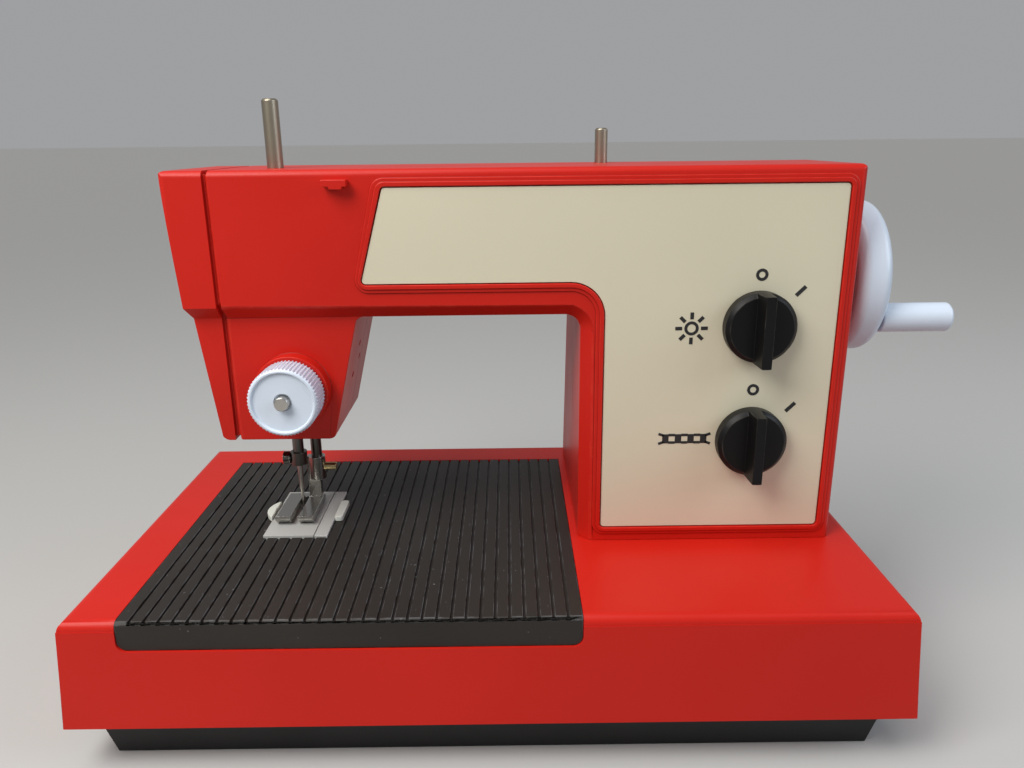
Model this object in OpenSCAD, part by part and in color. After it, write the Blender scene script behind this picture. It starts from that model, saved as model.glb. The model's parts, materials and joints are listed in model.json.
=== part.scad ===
// Toy sewing machine with a hand wheel, a motor drive and a chain-stitch looper.
// X runs to the right, Y away from the front, Z up from the underside of the tray.

/* [Base] */
// Width of the base housing across its top
base_w = 253; // [230:1:280]
// Depth of the base housing across its top
base_d = 138; // [132:1:160]
// Height of the base housing
base_h = 35; // [32:0.5:45]
// How far each base wall leans out at its lower edge
base_flare = 2.3; // [0.2:0.1:3]
// Wall thickness of the mouldings
wall = 2.4; // [1.8:0.1:2.8]
// Rounding of the base's upper edges
base_edge_r = 3; // [1:0.1:4]

/* [Bottom tray] */
// Height of the dark tray under the base
tray_h = 16.5; // [14:0.5:22]
// Set-back of the tray's upper edge from the base's lower edge
tray_inset = 6.7; // [4:0.1:8]
// Further set-back of the tray's lower edge
tray_taper = 3.2; // [1:0.1:7]
// Thickness of the tray's floor
tray_floor = 3; // [2.4:0.1:4]

/* [Work plate] */
// Width of the ribbed work plate
plate_w = 137; // [130:1:142]
// Depth of the ribbed work plate, from the base's front face
plate_d = 122; // [112:1:126]
// Middle of the work plate, left of the base's middle
plate_x = -41; // [-44:0.5:-40]
// Thickness of the work plate
plate_t = 3; // [2.6:0.1:4]
// Height of the lip that closes the notch in the base's front
plate_lip_h = 9.4; // [6:0.1:11]
// Distance from rib to rib
rib_pitch = 4.25; // [3.5:0.05:6]
// Width of the groove between two ribs
groove_w = 0.8; // [0.5:0.1:1.4]
// Depth of the groove between two ribs
groove_depth = 0.8; // [0.4:0.1:1.2]

/* [Needle plate] */
// Width of the needle plate with its strip
needle_plate_w = 22.6; // [20:0.2:25]
// Length of the needle plate, front to back
needle_plate_l = 37; // [34:0.5:42]
// Thickness of the needle plate
needle_plate_t = 1.4; // [1:0.1:1.8]
// How far the needle plate stands above the ribs
needle_plate_rise = 0.6; // [0.2:0.1:1]
// Width of the separate strip at the right
strip_w = 4.6; // [3.6:0.2:5]

/* [Arm and column] */
// Height of the arm's top above the base
arm_h = 125.5; // [118:0.5:136]
// Height of the arm from its underside to its top
arm_t = 46.3; // [44:0.1:50]
// Left end of the head at its top
arm_left = -99.5; // [-104:0.5:-94]
// Left wall of the column
column_left = 30; // [29:0.5:34]
// Right wall of the column
column_right = 116.9; // [112:0.5:120]
// Front plane of the arm
arm_front = -22; // [-25:0.5:-20]
// Back of the housing at the arm's top
arm_back_top = 28; // [27:0.5:34]
// Back of the housing where the column meets the base
arm_back_foot = 59; // [54:0.5:62]
// Chamfer along the arm's lower front edge
edge_chamfer = 4; // [2.5:0.1:5]
// Rounding of the arm's upper edges
arm_edge_r = 2.2; // [1:0.1:3.5]
// Fillet between the arm's underside and the column
throat_r = 5; // [3:0.5:8]

/* [Head] */
// Height of the head's underside above the work plate
nose_clear = 37.2; // [36:0.2:42]
// Depth of the lower head, front to back
nose_d = 43; // [42.4:0.2:46]
// Left lower corner of the head
nose_left_foot = -90; // [-91.4:0.2:-88.8]
// Left edge of the lower head under the step
nose_left_top = -95; // [-97:0.2:-93]
// Right lower corner of the head
nose_right_foot = -52.5; // [-54:0.2:-50]
// Right edge of the lower head under the step
nose_right_top = -42.4; // [-44:0.2:-38]
// Rounding of the lower head's two corners
nose_corner_r = 3; // [1.5:0.1:4]
// Plane of the parting groove of the end cover
cover_x = -85.2; // [-85.5:0.1:-83.5]
// Width of the parting groove
cover_gap = 1.6; // [0.4:0.1:1.6]

/* [Faceplate] */
// Margin from the column's right wall and the arm's top
panel_margin = 5.3; // [4.4:0.1:7]
// Left end of the faceplate at its top
panel_left_top = -31.4; // [-36:0.2:-28]
// Lean of the faceplate's left end
panel_lean = 8.2; // [4:0.1:10]
// Height of the faceplate's lower edge above the arm's underside
panel_rise = 11.2; // [8.6:0.1:12]
// Gap from the column's left wall to the faceplate
panel_side = 7.5; // [7:0.1:9]
// Height of the faceplate's foot above the base
panel_foot = 5.5; // [4.5:0.1:9]
// Concave rounding of the faceplate's inner corner
panel_r = 11; // [8:0.5:14]
// Width of the bead round the faceplate
bead_w = 2.6; // [1.6:0.1:2.8]
// Height of the bead above the arm's front
bead_h = 1; // [0.5:0.1:1.6]

/* [Panel knobs] */
// Distance of both knobs from the column's right wall
knob_inset = 30.6; // [28:0.1:34]
// Height of the lower knob above the base
knob_low = 37.2; // [34:0.2:42]
// Distance between the two knobs
knob_pitch = 38.6; // [34:0.2:42]
// Diameter of a knob's disc
knob_d = 22.8; // [20:0.1:27]
// Thickness of a knob's disc
knob_t = 5; // [4:0.1:6]
// Height of the grip fin above the disc
fin_h = 7; // [6:0.2:11]
// Thickness of the grip fin
fin_t = 4.4; // [3:0.1:6]

/* [Hand wheel] */
// Height of the drive axis above the arm's underside
drive_h = 7.3; // [5.8:0.1:8.8]
// Drive axis, behind the base's middle
drive_y = 9.5; // [8.5:0.1:10.5]
// Diameter of the hand wheel
wheel_d = 52; // [46:0.5:58]
// Width of the hand wheel
wheel_w = 11; // [9:0.2:13]
// Gap between the column and the wheel
wheel_gap = 4; // [3.6:0.1:7]
// Radius from the wheel's axis to the grip
grip_offset = 20; // [17:0.1:20.5]
// Diameter of the crank grip
grip_d = 9.8; // [8:0.1:10.6]
// Length of the crank grip
grip_l = 23.7; // [18:0.5:30]

/* [Needle and presser] */
// Needle bar, left of the base's middle
needle_x = -71.6; // [-72:0.1:-71]
// Needle bar, behind the base's middle
needle_y = 4.8; // [4.4:0.1:5.2]
// Diameter of both bars
bar_d = 4; // [3.6:0.1:4.2]
// Needle bar travel below the stored place
needle_down = 7; // [6:0.5:7.5]
// Needle bar travel above the stored place
needle_up = 9; // [8:0.5:9]
// Presser bar, right of the needle bar
presser_dx = 5.1; // [5:0.1:5.3]
// Presser bar, behind the needle bar
presser_dy = 6; // [5.6:0.1:6.2]
// Lift of the presser foot
presser_lift = 6; // [4:0.5:6]
// Width of the presser foot across its two toes
foot_w = 13.4; // [12:0.2:14]
// Length of the presser foot's toes
foot_l = 22; // [19:0.5:23]

/* [Tension and spool pins] */
// Tension knob, left of the base's middle
tension_x = -64.5; // [-66:0.1:-63]
// Height of the tension knob above the base
tension_h = 55.2; // [53:0.1:58]
// Diameter of the tension knob
tension_d = 22.4; // [20:0.2:24]
// Length of the tension knob
tension_l = 10.4; // [9:0.1:13]
// Diameter of the left spool pin
pin_left_d = 5.2; // [4:0.1:6]
// Height of the left spool pin above the arm
pin_left_h = 21.2; // [16:0.2:30]
// Diameter of the right spool pin
pin_right_d = 4.4; // [3.6:0.1:6]
// Height of the right spool pin above the arm
pin_right_h = 11.6; // [9:0.2:24]

/* [Hidden] */
$fn = 64;
// Shared clearances
overrun = 1;
slide_gap = 0.3;
run_gap = 0.05;
seat_gap = 0.15;

// Levels and edges
base_top = tray_h + base_h;
base_front = -base_d / 2;
arm_top = base_top + arm_h;
arm_under = arm_top - arm_t;
arm_back_slope = (arm_back_foot - arm_back_top) / arm_h;
nose_bottom = base_top + nose_clear;
nose_front = arm_front + edge_chamfer;
nose_back = nose_front + nose_d;
nose_floor = nose_bottom + wall;
drive_z = arm_under + drive_h;
split_y = drive_y;
inner_front = arm_front + wall;
inner_right = column_right - wall;
arm_floor = arm_under + wall;
inner_top = arm_top - wall;
nose_run = arm_under - nose_bottom;

// Work plate and needle plate
plate_left = plate_x - plate_w / 2;
plate_right = plate_x + plate_w / 2;
plate_back = base_front + plate_d;
plate_ledge = 5;
plate_corner_r = 3;
rib_end = 0.9;
rib_count = floor(plate_w / rib_pitch);
strip_seam = 0.3;
needle_plate_lead = 9.2;
needle_plate_front_run = 21.8;
needle_plate_left = needle_x - needle_plate_lead;
needle_plate_right = needle_plate_left + needle_plate_w;
needle_plate_front = needle_y - needle_plate_front_run;
needle_plate_back = needle_plate_front + needle_plate_l;
needle_plate_top = base_top + needle_plate_rise;
needle_plate_seat = needle_plate_top - needle_plate_t;
needle_plate_rest = 2.2;

// Bars of the head
bar_r = bar_d / 2;
presser_x = needle_x + presser_dx;
presser_y = needle_y + presser_dy;

// Colours
red_plastic = "#c8281e";
black_plastic = "#26262a";
cream_plastic = "#e6dcc0";
white_plastic = "#eef0f4";
pale_metal = "#c9c9c6";
dark_steel = "#5a5a5c";
bright_steel = "#9a9a9c";
brass_metal = "#b99a4b";

// Shared shapes

// A block between two opposite corners
module block(from, to) {
  translate(from)
    cube(to - from);
}

// A rod along X
module x_rod(x0, x1, y, z, r) {
  translate([x0, y, z])
    rotate([0, 90, 0])
      cylinder(r = r, h = x1 - x0);
}

// A rod along Y
module y_rod(x, y0, y1, z, r) {
  translate([x, y1, z])
    rotate([90, 0, 0])
      cylinder(r = r, h = y1 - y0);
}

// A rod along Z
module z_rod(x, y, z0, z1, r) {
  translate([x, y, z0])
    cylinder(r = r, h = z1 - z0);
}

// A flat outline in X and Z, swept along Y
module front_prism(y0, y1) {
  translate([0, y1, 0])
    rotate([90, 0, 0])
      linear_extrude(height = y1 - y0)
        children();
}

// A flat outline in Y and Z, swept along X
module side_prism(x0, x1) {
  translate([x0, 0, 0])
    rotate([90, 0, 90])
      linear_extrude(height = x1 - x0)
        children();
}

// A flat outline in X and Y, swept along Z
module plan_prism(z0, z1) {
  translate([0, 0, z0])
    linear_extrude(height = z1 - z0)
      children();
}

// A rectangle between two corners
module rect(from, to) {
  translate(from)
    square(to - from);
}

// A rectangle with four round corners
module round_rect(from, to, r) {
  rect([from[0] + r, from[1]], [to[0] - r, to[1]]);
  rect([from[0], from[1] + r], [to[0], to[1] - r]);
  for (x = [from[0] + r, to[0] - r])
    for (y = [from[1] + r, to[1] - r])
      translate([x, y])
        circle(r = r);
}

// The sliver between a square corner and its arc; sx and sy point to the arc's middle
module corner(at, sx, sy, r) {
  translate(at)
    difference() {
      rect(
        [min(-sx * overrun, sx * r), min(-sy * overrun, sy * r)],
        [max(-sx * overrun, sx * r), max(-sy * overrun, sy * r)]
      );
      translate([sx * r, sy * r])
        circle(r = r);
    }
}

// Points of the arc in a slanted corner; a0 and a1 are the directions of its sides
bend_steps = 8;
function bend(at, a0, a1, r) =
  let (hub = at + r / sin((a1 - a0) / 2) * [cos((a0 + a1) / 2), sin((a0 + a1) / 2)])
  [
    for (i = [0 : bend_steps])
      let (t = a1 + 90 + (180 - a1 + a0) * i / bend_steps)
      hub + r * [cos(t), sin(t)]
  ];

// Points of a coil: angle, height and place along one unbroken wire
function coil_point(r, pitch, turns, steps, i) =
  let (turn = turns * i / steps)
  [r * cos(turn * 360), r * sin(turn * 360), pitch * turn];

// A coil spring as one tube; the wire keeps its section square to its run
module coil_spring(r, wire_r, height, turns) {
  rings_per_turn = 8;
  sides = 6;
  steps = turns * rings_per_turn;
  pitch = (height - 2 * wire_r) / turns;
  lead = atan2(pitch, 2 * PI * r);
  points = [
    for (i = [0 : steps])
      let (a = 360 * turns * i / steps, c = coil_point(r, pitch, turns, steps, i))
      for (k = [0 : sides - 1])
        let (b = 360 * k / sides, u = wire_r * cos(b), v = wire_r * sin(b))
        [
          c[0] + u * cos(a) + v * sin(lead) * sin(a),
          c[1] + u * sin(a) - v * sin(lead) * cos(a),
          c[2] + wire_r + v * cos(lead)
        ]
  ];
  walls = [
    for (i = [0 : steps - 1])
      for (k = [0 : sides - 1])
        let (p = i * sides + k, q = i * sides + (k + 1) % sides)
        each [[p, q + sides, q], [p, p + sides, q + sides]]
  ];
  first_end = [for (k = [1 : sides - 2]) [0, k, k + 1]];
  last = steps * sides;
  last_end = [for (k = [1 : sides - 2]) [last, last + k + 1, last + k]];
  echo(coil_gap = pitch * cos(lead) - 2 * wire_r);
  polyhedron(points = points, faces = concat(walls, first_end, last_end));
}

// Base

tray_screw_r = 1.6;
tray_head_r = 3.2;
tray_post_r = 4.2;
tray_post_inset = 13;
tray_post_x = base_w / 2 - tray_post_inset;
tray_post_y = base_d / 2 - tray_post_inset;
tray_head_depth = 5;
tray_screw_l = 22;
flange_w = 6;
flange_t = 2;

// Battery bay at the tray's right end
cell_r = 13;
cell_l = 48;
cell_count = 3;
cell_gap = 0.6;
nub_r = 3;
nub_l = 1.6;
cover_lip = 2;
cover_t = 1.6;
cover_recess = 0.5;
cell_pitch = 2 * cell_r + cell_gap;
bay_right = base_w / 2 + base_flare - tray_inset - tray_taper - wall - cover_lip;
bay_left = bay_right - cell_l - 2 * (nub_l + slide_gap);
bay_back = cell_count * cell_pitch / 2;
bay_front = -bay_back;

// Places of the screws that hold the tray
function tray_posts() = [
  for (x = [-tray_post_x, tray_post_x])
    for (y = [-tray_post_y, tray_post_y])
      [x, y]
];

// One wall outline of the tray: narrow at the foot, wider at the given top
module tray_outline(half, inset, top) {
  foot = half + base_flare - tray_inset - tray_taper - inset;
  lean = tray_taper * top / tray_h;
  polygon([[-foot, 0], [foot, 0], [foot + lean, top], [-foot - lean, top]]);
}

module tray_body(inset, top) {
  intersection() {
    front_prism(-base_d, base_d)
      tray_outline(base_w / 2, inset, top);
    side_prism(-base_w, base_w)
      tray_outline(base_d / 2, inset, top);
  }
}

module bottom_tray() {
  color(black_plastic)
    difference() {
      union() {
        difference() {
          tray_body(0, tray_h);
          intersection() {
            tray_body(wall, tray_h + overrun);
            block([-base_w, -base_d, tray_floor], [base_w, base_d, tray_h + base_h]);
          }
        }
        for (p = tray_posts())
          z_rod(p[0], p[1], tray_floor, tray_h, tray_post_r);
      }
      for (p = tray_posts()) {
        z_rod(p[0], p[1], -overrun, tray_h + overrun, tray_screw_r + slide_gap);
        z_rod(p[0], p[1], -overrun, tray_head_depth, tray_head_r + slide_gap);
      }
      block([bay_left, bay_front, -overrun], [bay_right, bay_back, tray_floor + overrun]);
      block(
        [bay_left - cover_lip, bay_front - cover_lip, -overrun],
        [bay_right + cover_lip, bay_back + cover_lip, cover_recess + cover_t]
      );
    }
}

module battery_cover() {
  grip_rows = 4;
  grip_pitch = 3;
  grip_l = 18;
  grip_w = 1.4;
  grip_cut = 0.5;
  cover_right = bay_right + cover_lip - seat_gap;
  color(black_plastic)
    difference() {
      block(
        [bay_left - cover_lip + seat_gap, bay_front - cover_lip + seat_gap, cover_recess],
        [cover_right, bay_back + cover_lip - seat_gap, cover_recess + cover_t]
      );
      for (i = [1 : grip_rows])
        translate([cover_right - i * grip_pitch, (bay_front + bay_back) / 2, cover_recess])
          cube([grip_w, grip_l, 2 * grip_cut], center = true);
    }
}

module batteries() {
  x0 = bay_left + nub_l + slide_gap;
  x1 = x0 + cell_l;
  z = cover_recess + cover_t + seat_gap + cell_r;
  color("#8a6d3b")
    for (i = [0 : cell_count - 1])
      let (y = bay_front + (i + 0.5) * cell_pitch) {
        x_rod(x0, x1, y, z, cell_r);
        if (i % 2 == 0)
          x_rod(x1, x1 + nub_l, y, z, nub_r);
        else
          x_rod(x0 - nub_l, x0, y, z, nub_r);
      }
}

module battery_contacts() {
  contact_t = 0.5;
  contact_w = 16;
  contact_top = 24;
  left = bay_left - seat_gap - contact_t;
  right = bay_right + seat_gap;
  color(bright_steel)
    for (i = [0 : cell_count - 1])
      for (x = [left, right])
        let (y = bay_front + (i + 0.5) * cell_pitch)
        block([x, y - contact_w / 2, tray_floor], [x + contact_t, y + contact_w / 2, contact_top]);
}

// One wall outline of the base: leaning sides and round upper corners
module base_outline(half, inset) {
  foot = half + base_flare - inset;
  top = half - inset;
  level = base_top - inset;
  r = max(base_edge_r - inset, wall / 4);
  difference() {
    polygon([[-foot, tray_h - inset], [foot, tray_h - inset], [top, level], [-top, level]]);
    corner([-top, level], 1, -1, r);
    corner([top, level], -1, -1, r);
  }
}

module base_body(inset) {
  intersection() {
    front_prism(-base_d, base_d)
      base_outline(base_w / 2, inset);
    side_prism(-base_w, base_w)
      base_outline(base_d / 2, inset);
    plan_prism(0, base_top + overrun)
      round_rect(
        [-base_w / 2 - base_flare + inset, -base_d / 2 - base_flare + inset],
        [base_w / 2 + base_flare - inset, base_d / 2 + base_flare - inset],
        base_edge_r + wall / 4 - inset / 2
      );
  }
}

column_screw_r = 1.5;
column_boss_r = 4;
column_boss_h = 14;
column_boss_inset = 5.6;
column_screw_l = 14;
window_margin = 12;
column_screw_xs = [column_left + column_boss_inset, column_right - column_boss_inset];
column_screw_front = arm_front + column_boss_inset;
column_screw_back = arm_back_foot - column_boss_inset - 2 * wall;

// The hole for a column screw in the foot of a boss
module column_screw_hole(x, y) {
  z_rod(x, y, base_top - overrun, base_top + column_screw_l, column_screw_r + run_gap);
}

// Places of the screws that hold the column to the base
function column_screws() = [
  for (x = column_screw_xs)
    for (y = [column_screw_front, column_screw_back])
      [x, y]
];

// The work plate's outline, with round corners at the front lip's foot
module lip_outline(grow) {
  lip_foot = base_top - plate_lip_h - grow;
  difference() {
    rect([plate_left - grow, lip_foot], [plate_right + grow, base_top + overrun]);
    corner([plate_left - grow, lip_foot], 1, 1, plate_corner_r);
    corner([plate_right + grow, lip_foot], -1, 1, plate_corner_r);
  }
}

module base_shell() {
  rest = base_top - plate_t;
  color(red_plastic)
    difference() {
      base_body(0);
      difference() {
        base_body(wall);
        for (p = tray_posts())
          z_rod(p[0], p[1], tray_h - wall, base_top, tray_post_r);
        block(
          [plate_left - wall, base_front, rest - wall],
          [plate_right + wall, plate_back + wall, base_top]
        );
        difference() {
          block([-base_w, -base_d, 0], [base_w, base_d, tray_h + flange_t]);
          plan_prism(0, base_top)
            square([base_w - 2 * flange_w - 2 * wall, base_d - 2 * flange_w - 2 * wall], center = true);
        }
      }
      block(
        [plate_left - seat_gap, base_front - base_d, rest],
        [plate_right + seat_gap, plate_back + seat_gap, base_top + overrun]
      );
      front_prism(base_front - base_d, base_front + wall + seat_gap)
        lip_outline(seat_gap);
      block(
        [plate_left + plate_ledge, base_front + plate_ledge, rest - 2 * wall],
        [plate_right - plate_ledge, plate_back - plate_ledge, rest + overrun]
      );
      block(
        [column_left + window_margin, arm_front + window_margin, base_top - 2 * wall],
        [column_right - window_margin, arm_back_foot - window_margin - wall, base_top + overrun]
      );
      for (p = column_screws())
        z_rod(p[0], p[1], base_top - 2 * wall, base_top + overrun, column_screw_r + slide_gap);
      for (p = tray_posts())
        z_rod(p[0], p[1], tray_h - overrun, tray_screw_l + tray_head_depth, tray_screw_r + run_gap);
    }
}

module work_plate() {
  rest = base_top - plate_t;
  color(black_plastic)
    difference() {
      union() {
        block([plate_left, base_front, rest], [plate_right, plate_back, base_top]);
        front_prism(base_front, base_front + wall)
          intersection() {
            lip_outline(0);
            rect([plate_left, tray_h], [plate_right, base_top]);
          }
      }
      for (i = [1 : rib_count - 1])
        translate([plate_left + i * plate_w / rib_count, 0, base_top])
          cube([groove_w, 2 * base_d, 2 * groove_depth], center = true);
      side_prism(plate_left - overrun, plate_right + overrun)
        polygon([
          [base_front - overrun, base_top - rib_end - overrun],
          [base_front - overrun, base_top + overrun],
          [base_front + rib_end + overrun, base_top + overrun]
        ]);
      block(
        [needle_plate_left - seat_gap, needle_plate_front - seat_gap, needle_plate_seat],
        [needle_plate_right + seat_gap, needle_plate_back + seat_gap, base_top + overrun]
      );
      block(
        [needle_plate_left + needle_plate_rest, needle_plate_front + needle_plate_rest, rest - overrun],
        [needle_plate_right - needle_plate_rest, needle_plate_back - needle_plate_rest, base_top]
      );
    }
}

// Needle plate, feed and looper

needle_hole_r = 1.3;
feed_bar_w = 2.2;
feed_left_dx = 4.8;
feed_right_dx = 4.2;
feed_xs = [needle_x - feed_left_dx, needle_x + feed_right_dx];
feed_front_run = 10;
feed_back_run = 11;
feed_travel = 1.5;
feed_front = needle_y - feed_front_run;
feed_back = needle_y + feed_back_run;
feed_slot_gap = 0.5;
feed_shelf_drop = 8.5;
feed_shelf = base_top - feed_shelf_drop;
feed_drop = 0.3;

module needle_plate() {
  color(pale_metal)
    difference() {
      block(
        [needle_plate_left, needle_plate_front, needle_plate_seat],
        [needle_plate_right - strip_w - strip_seam, needle_plate_back, needle_plate_top]
      );
      z_rod(needle_x, needle_y, needle_plate_seat - overrun, needle_plate_top + overrun, needle_hole_r);
      for (x = feed_xs)
        plan_prism(needle_plate_seat - overrun, needle_plate_top + overrun)
          rect(
            [x - feed_bar_w / 2 - feed_slot_gap, feed_front - feed_travel - feed_slot_gap],
            [x + feed_bar_w / 2 + feed_slot_gap, feed_back + feed_travel + feed_slot_gap]
          );
    }
}

module slide_strip() {
  color(pale_metal)
    block(
      [needle_plate_right - strip_w, needle_plate_front, needle_plate_seat],
      [needle_plate_right, needle_plate_back, needle_plate_top]
    );
}

clip_h = 1.9;
clip_l = 14;
clip_w = 3;
clip_r = 9;
clip_reach = 3.2;

module plate_clips() {
  middle = (needle_plate_front + needle_plate_back) / 2 + needle_plate_rise;
  edge = needle_plate_left - seat_gap;
  color(white_plastic) {
    plan_prism(base_top, base_top + clip_h)
      difference() {
        intersection() {
          translate([edge - clip_reach + clip_r, middle])
            circle(r = clip_r);
          rect([edge - clip_reach, middle - clip_r], [edge, middle + clip_r]);
        }
        translate([edge - clip_reach + clip_r + clip_w, middle])
          circle(r = clip_r);
      }
    plan_prism(base_top, base_top + clip_h)
      round_rect(
        [needle_plate_right + seat_gap, middle - clip_l / 2],
        [needle_plate_right + seat_gap + clip_w, middle + clip_l / 2],
        clip_w / 3
      );
  }
}

lower_drop = 17.5;
lower_z = base_top - lower_drop;
lower_r = 2.5;
looper_r = 8;
looper_t = 3.6;
looper_x = needle_x;
shelf_t = 3;
shelf_gap = 0.9;
shelf_edge = 1.6;
post_w = 6;
post_x = -58;
belt_x = 48;
belt_w = 5;
belt_t = 1.8;
pulley_r = 10;
pulley_flange = 2.6;
pulley_flange_t = 1.2;
pulley_half = belt_w / 2 + slide_gap + pulley_flange_t;
lower_bearing_left = belt_x + pulley_half + slide_gap;
lower_bearing_right = lower_bearing_left + post_w;

module hook_frame() {
  shelf_left = feed_xs[0] - feed_bar_w / 2 - shelf_edge;
  shelf_right = post_x + post_w / 2;
  gap_left = looper_x - looper_t / 2 - shelf_gap;
  gap_right = looper_x + looper_t / 2 + shelf_gap;
  shelf_front = feed_front - feed_travel;
  shelf_back = feed_back + feed_travel + post_w;
  color(black_plastic)
    difference() {
      union() {
        block(
          [post_x - post_w / 2, drive_y - post_w, tray_floor],
          [shelf_right, drive_y + post_w, feed_shelf]
        );
        difference() {
          block([shelf_left, shelf_front, feed_shelf - shelf_t], [shelf_right, shelf_back, feed_shelf]);
          block(
            [gap_left, shelf_front - overrun, feed_shelf - 2 * shelf_t],
            [gap_right, shelf_back - post_w / 2, feed_shelf + overrun]
          );
        }
      }
      x_rod(post_x - post_w, post_x + post_w, drive_y, lower_z, lower_r + run_gap);
    }
}

module feed_dog() {
  tooth_count = 9;
  tooth_h = 0.8;
  bar_foot = feed_shelf + slide_gap;
  bar_top = needle_plate_top - feed_drop;
  pitch = (feed_back - feed_front) / tooth_count;
  bridge_h = 3;
  bridge_w = 4;
  color(bright_steel) {
    for (x = feed_xs)
      side_prism(x - feed_bar_w / 2, x + feed_bar_w / 2)
        polygon(concat(
          [[feed_back, bar_foot], [feed_front, bar_foot]],
          [
            for (i = [0 : tooth_count - 1])
              each [
                [feed_front + i * pitch, bar_top - tooth_h],
                [feed_front + (i + 1) * pitch, bar_top]
              ]
          ]
        ));
    block(
      [feed_xs[0] + feed_bar_w / 2, feed_back - bridge_w, bar_foot],
      [feed_xs[1] - feed_bar_w / 2, feed_back, bar_foot + bridge_h]
    );
  }
}

module looper() {
  horn_share = 0.55;
  color(bright_steel)
    difference() {
      x_rod(looper_x - looper_t / 2, looper_x + looper_t / 2, drive_y, lower_z, looper_r);
      side_prism(looper_x - looper_t, looper_x + looper_t)
        translate([drive_y + looper_r * horn_share, lower_z + looper_r * horn_share])
          circle(r = looper_r * horn_share);
      side_prism(looper_x - looper_t, looper_x + looper_t)
        rect(
          [drive_y - looper_r, lower_z - looper_r - overrun],
          [drive_y, lower_z - looper_r * horn_share]
        );
      x_rod(looper_x - looper_t, looper_x + looper_t, drive_y, lower_z, lower_r);
    }
}

module lower_shaft() {
  color(bright_steel)
    x_rod(looper_x - looper_t / 2, lower_bearing_right, drive_y, lower_z, lower_r);
}

// A belt pulley with two flanges, turned about X
module pulley(z, bore_r) {
  difference() {
    union() {
      x_rod(belt_x - pulley_half, belt_x + pulley_half, drive_y, z, pulley_r);
      for (x = [belt_x - pulley_half, belt_x + pulley_half - pulley_flange_t])
        x_rod(x, x + pulley_flange_t, drive_y, z, pulley_r + pulley_flange);
    }
    x_rod(belt_x - 2 * pulley_half, belt_x + 2 * pulley_half, drive_y, z, bore_r);
  }
}

module lower_pulley() {
  color(white_plastic)
    pulley(lower_z, lower_r);
}

module lower_bearing() {
  color(black_plastic)
    difference() {
      block(
        [lower_bearing_left, drive_y - post_w, tray_floor],
        [lower_bearing_right, drive_y + post_w, lower_z + post_w]
      );
      x_rod(
        lower_bearing_left - overrun, lower_bearing_right + overrun,
        drive_y, lower_z, lower_r + run_gap
      );
    }
}

// The outline of the belt's loop at a given radius round both pulleys
module belt_loop(r) {
  rect([drive_y - r, lower_z], [drive_y + r, drive_z]);
  for (z = [lower_z, drive_z])
    translate([drive_y, z])
      circle(r = r);
}

module drive_belt() {
  color(black_plastic)
    side_prism(belt_x - belt_w / 2, belt_x + belt_w / 2)
      difference() {
        belt_loop(pulley_r + slide_gap + belt_t);
        belt_loop(pulley_r + slide_gap);
      }
}

// Drive

shaft_r = 3;
shaft_head_end = -55;
wheel_left = column_right + wheel_gap;
wheel_right = wheel_left + wheel_w;
wheel_screw_depth = 3;
disc_t = 4;
disc_rim = 2.6;
crank_r = (needle_down + needle_up) / 2;
crank_pin_r = 2;
crank_rest = asin((needle_down - crank_r) / crank_r);
yoke_t = 2.8;
yoke_left = needle_x + bar_r + slide_gap;
yoke_right = yoke_left + yoke_t;
crank_pin_gap = 0.5;
gear_x = 66;
gear_w = 6;
gear_module = 0.8;
gear_teeth = 48;
pinion_teeth = 12;
tooth_tip_share = 0.75;
tooth_root_share = 1.1;
tooth_flank_share = 0.2;
tooth_pitch_share = 0.42;
gear_distance = gear_module * (gear_teeth + pinion_teeth) / 2;
motor_z = drive_z - gear_distance;
motor_r = 12;
motor_stand_off = 4;
motor_l = 30;
motor_left = gear_x + gear_w + motor_stand_off;
motor_shaft_r = 1;
motor_boss_r = 3;
cradle_t = 2.2;
cradle_w = 12;

// Back of the housing and of its hollow at a given height
function back_y(z) = arm_back_top + (arm_top - z) * arm_back_slope;
function hollow_back(z) = back_y(z) - wall;

// One tooth of a spur gear as four corners, at a given angle
function tooth(teeth, turn) =
  let (
    r = gear_module * teeth / 2,
    tip = r + gear_module * tooth_tip_share,
    root = r - gear_module * tooth_root_share,
    half = 180 / teeth * tooth_pitch_share,
    lean = 180 / teeth * tooth_flank_share
  )
  [
    root * [cos(turn - half - lean), sin(turn - half - lean)],
    tip * [cos(turn - half + lean), sin(turn - half + lean)],
    tip * [cos(turn + half - lean), sin(turn + half - lean)],
    root * [cos(turn + half + lean), sin(turn + half + lean)]
  ];

// A spur gear's outline with its first tooth at a given angle
module gear_outline(teeth, turn) {
  polygon([for (i = [0 : teeth - 1]) each tooth(teeth, turn + 360 * i / teeth)]);
}

module main_shaft() {
  color(bright_steel)
    x_rod(shaft_head_end - disc_t, wheel_right - wheel_screw_depth, drive_y, drive_z, shaft_r);
}

bearing_w = 8;
bearing_x = -36;
bearing_half = 8;
bush_r = 5.5;
bush_flange = 2.5;
bush_flange_t = 1.6;
bush_nose = 1.4;

module head_bearing() {
  color(white_plastic)
    difference() {
      side_prism(bearing_x - bearing_w / 2, bearing_x + bearing_w / 2)
        intersection() {
          union() {
            rect([drive_y - bearing_half, arm_floor], [drive_y + bearing_half, drive_z]);
            translate([drive_y, drive_z])
              circle(r = bearing_half);
          }
          rect([drive_y - bearing_half, arm_floor], [drive_y + bearing_half, inner_top]);
        }
      x_rod(bearing_x - bearing_w, bearing_x + bearing_w, drive_y, drive_z, shaft_r + run_gap);
    }
}

module wheel_bearing() {
  color(white_plastic)
    difference() {
      union() {
        x_rod(inner_right, column_right + bush_nose, drive_y, drive_z, bush_r);
        x_rod(inner_right - bush_flange_t, inner_right, drive_y, drive_z, bush_r + bush_flange);
      }
      x_rod(inner_right - bearing_w, column_right + bearing_w, drive_y, drive_z, shaft_r + run_gap);
    }
}

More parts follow.
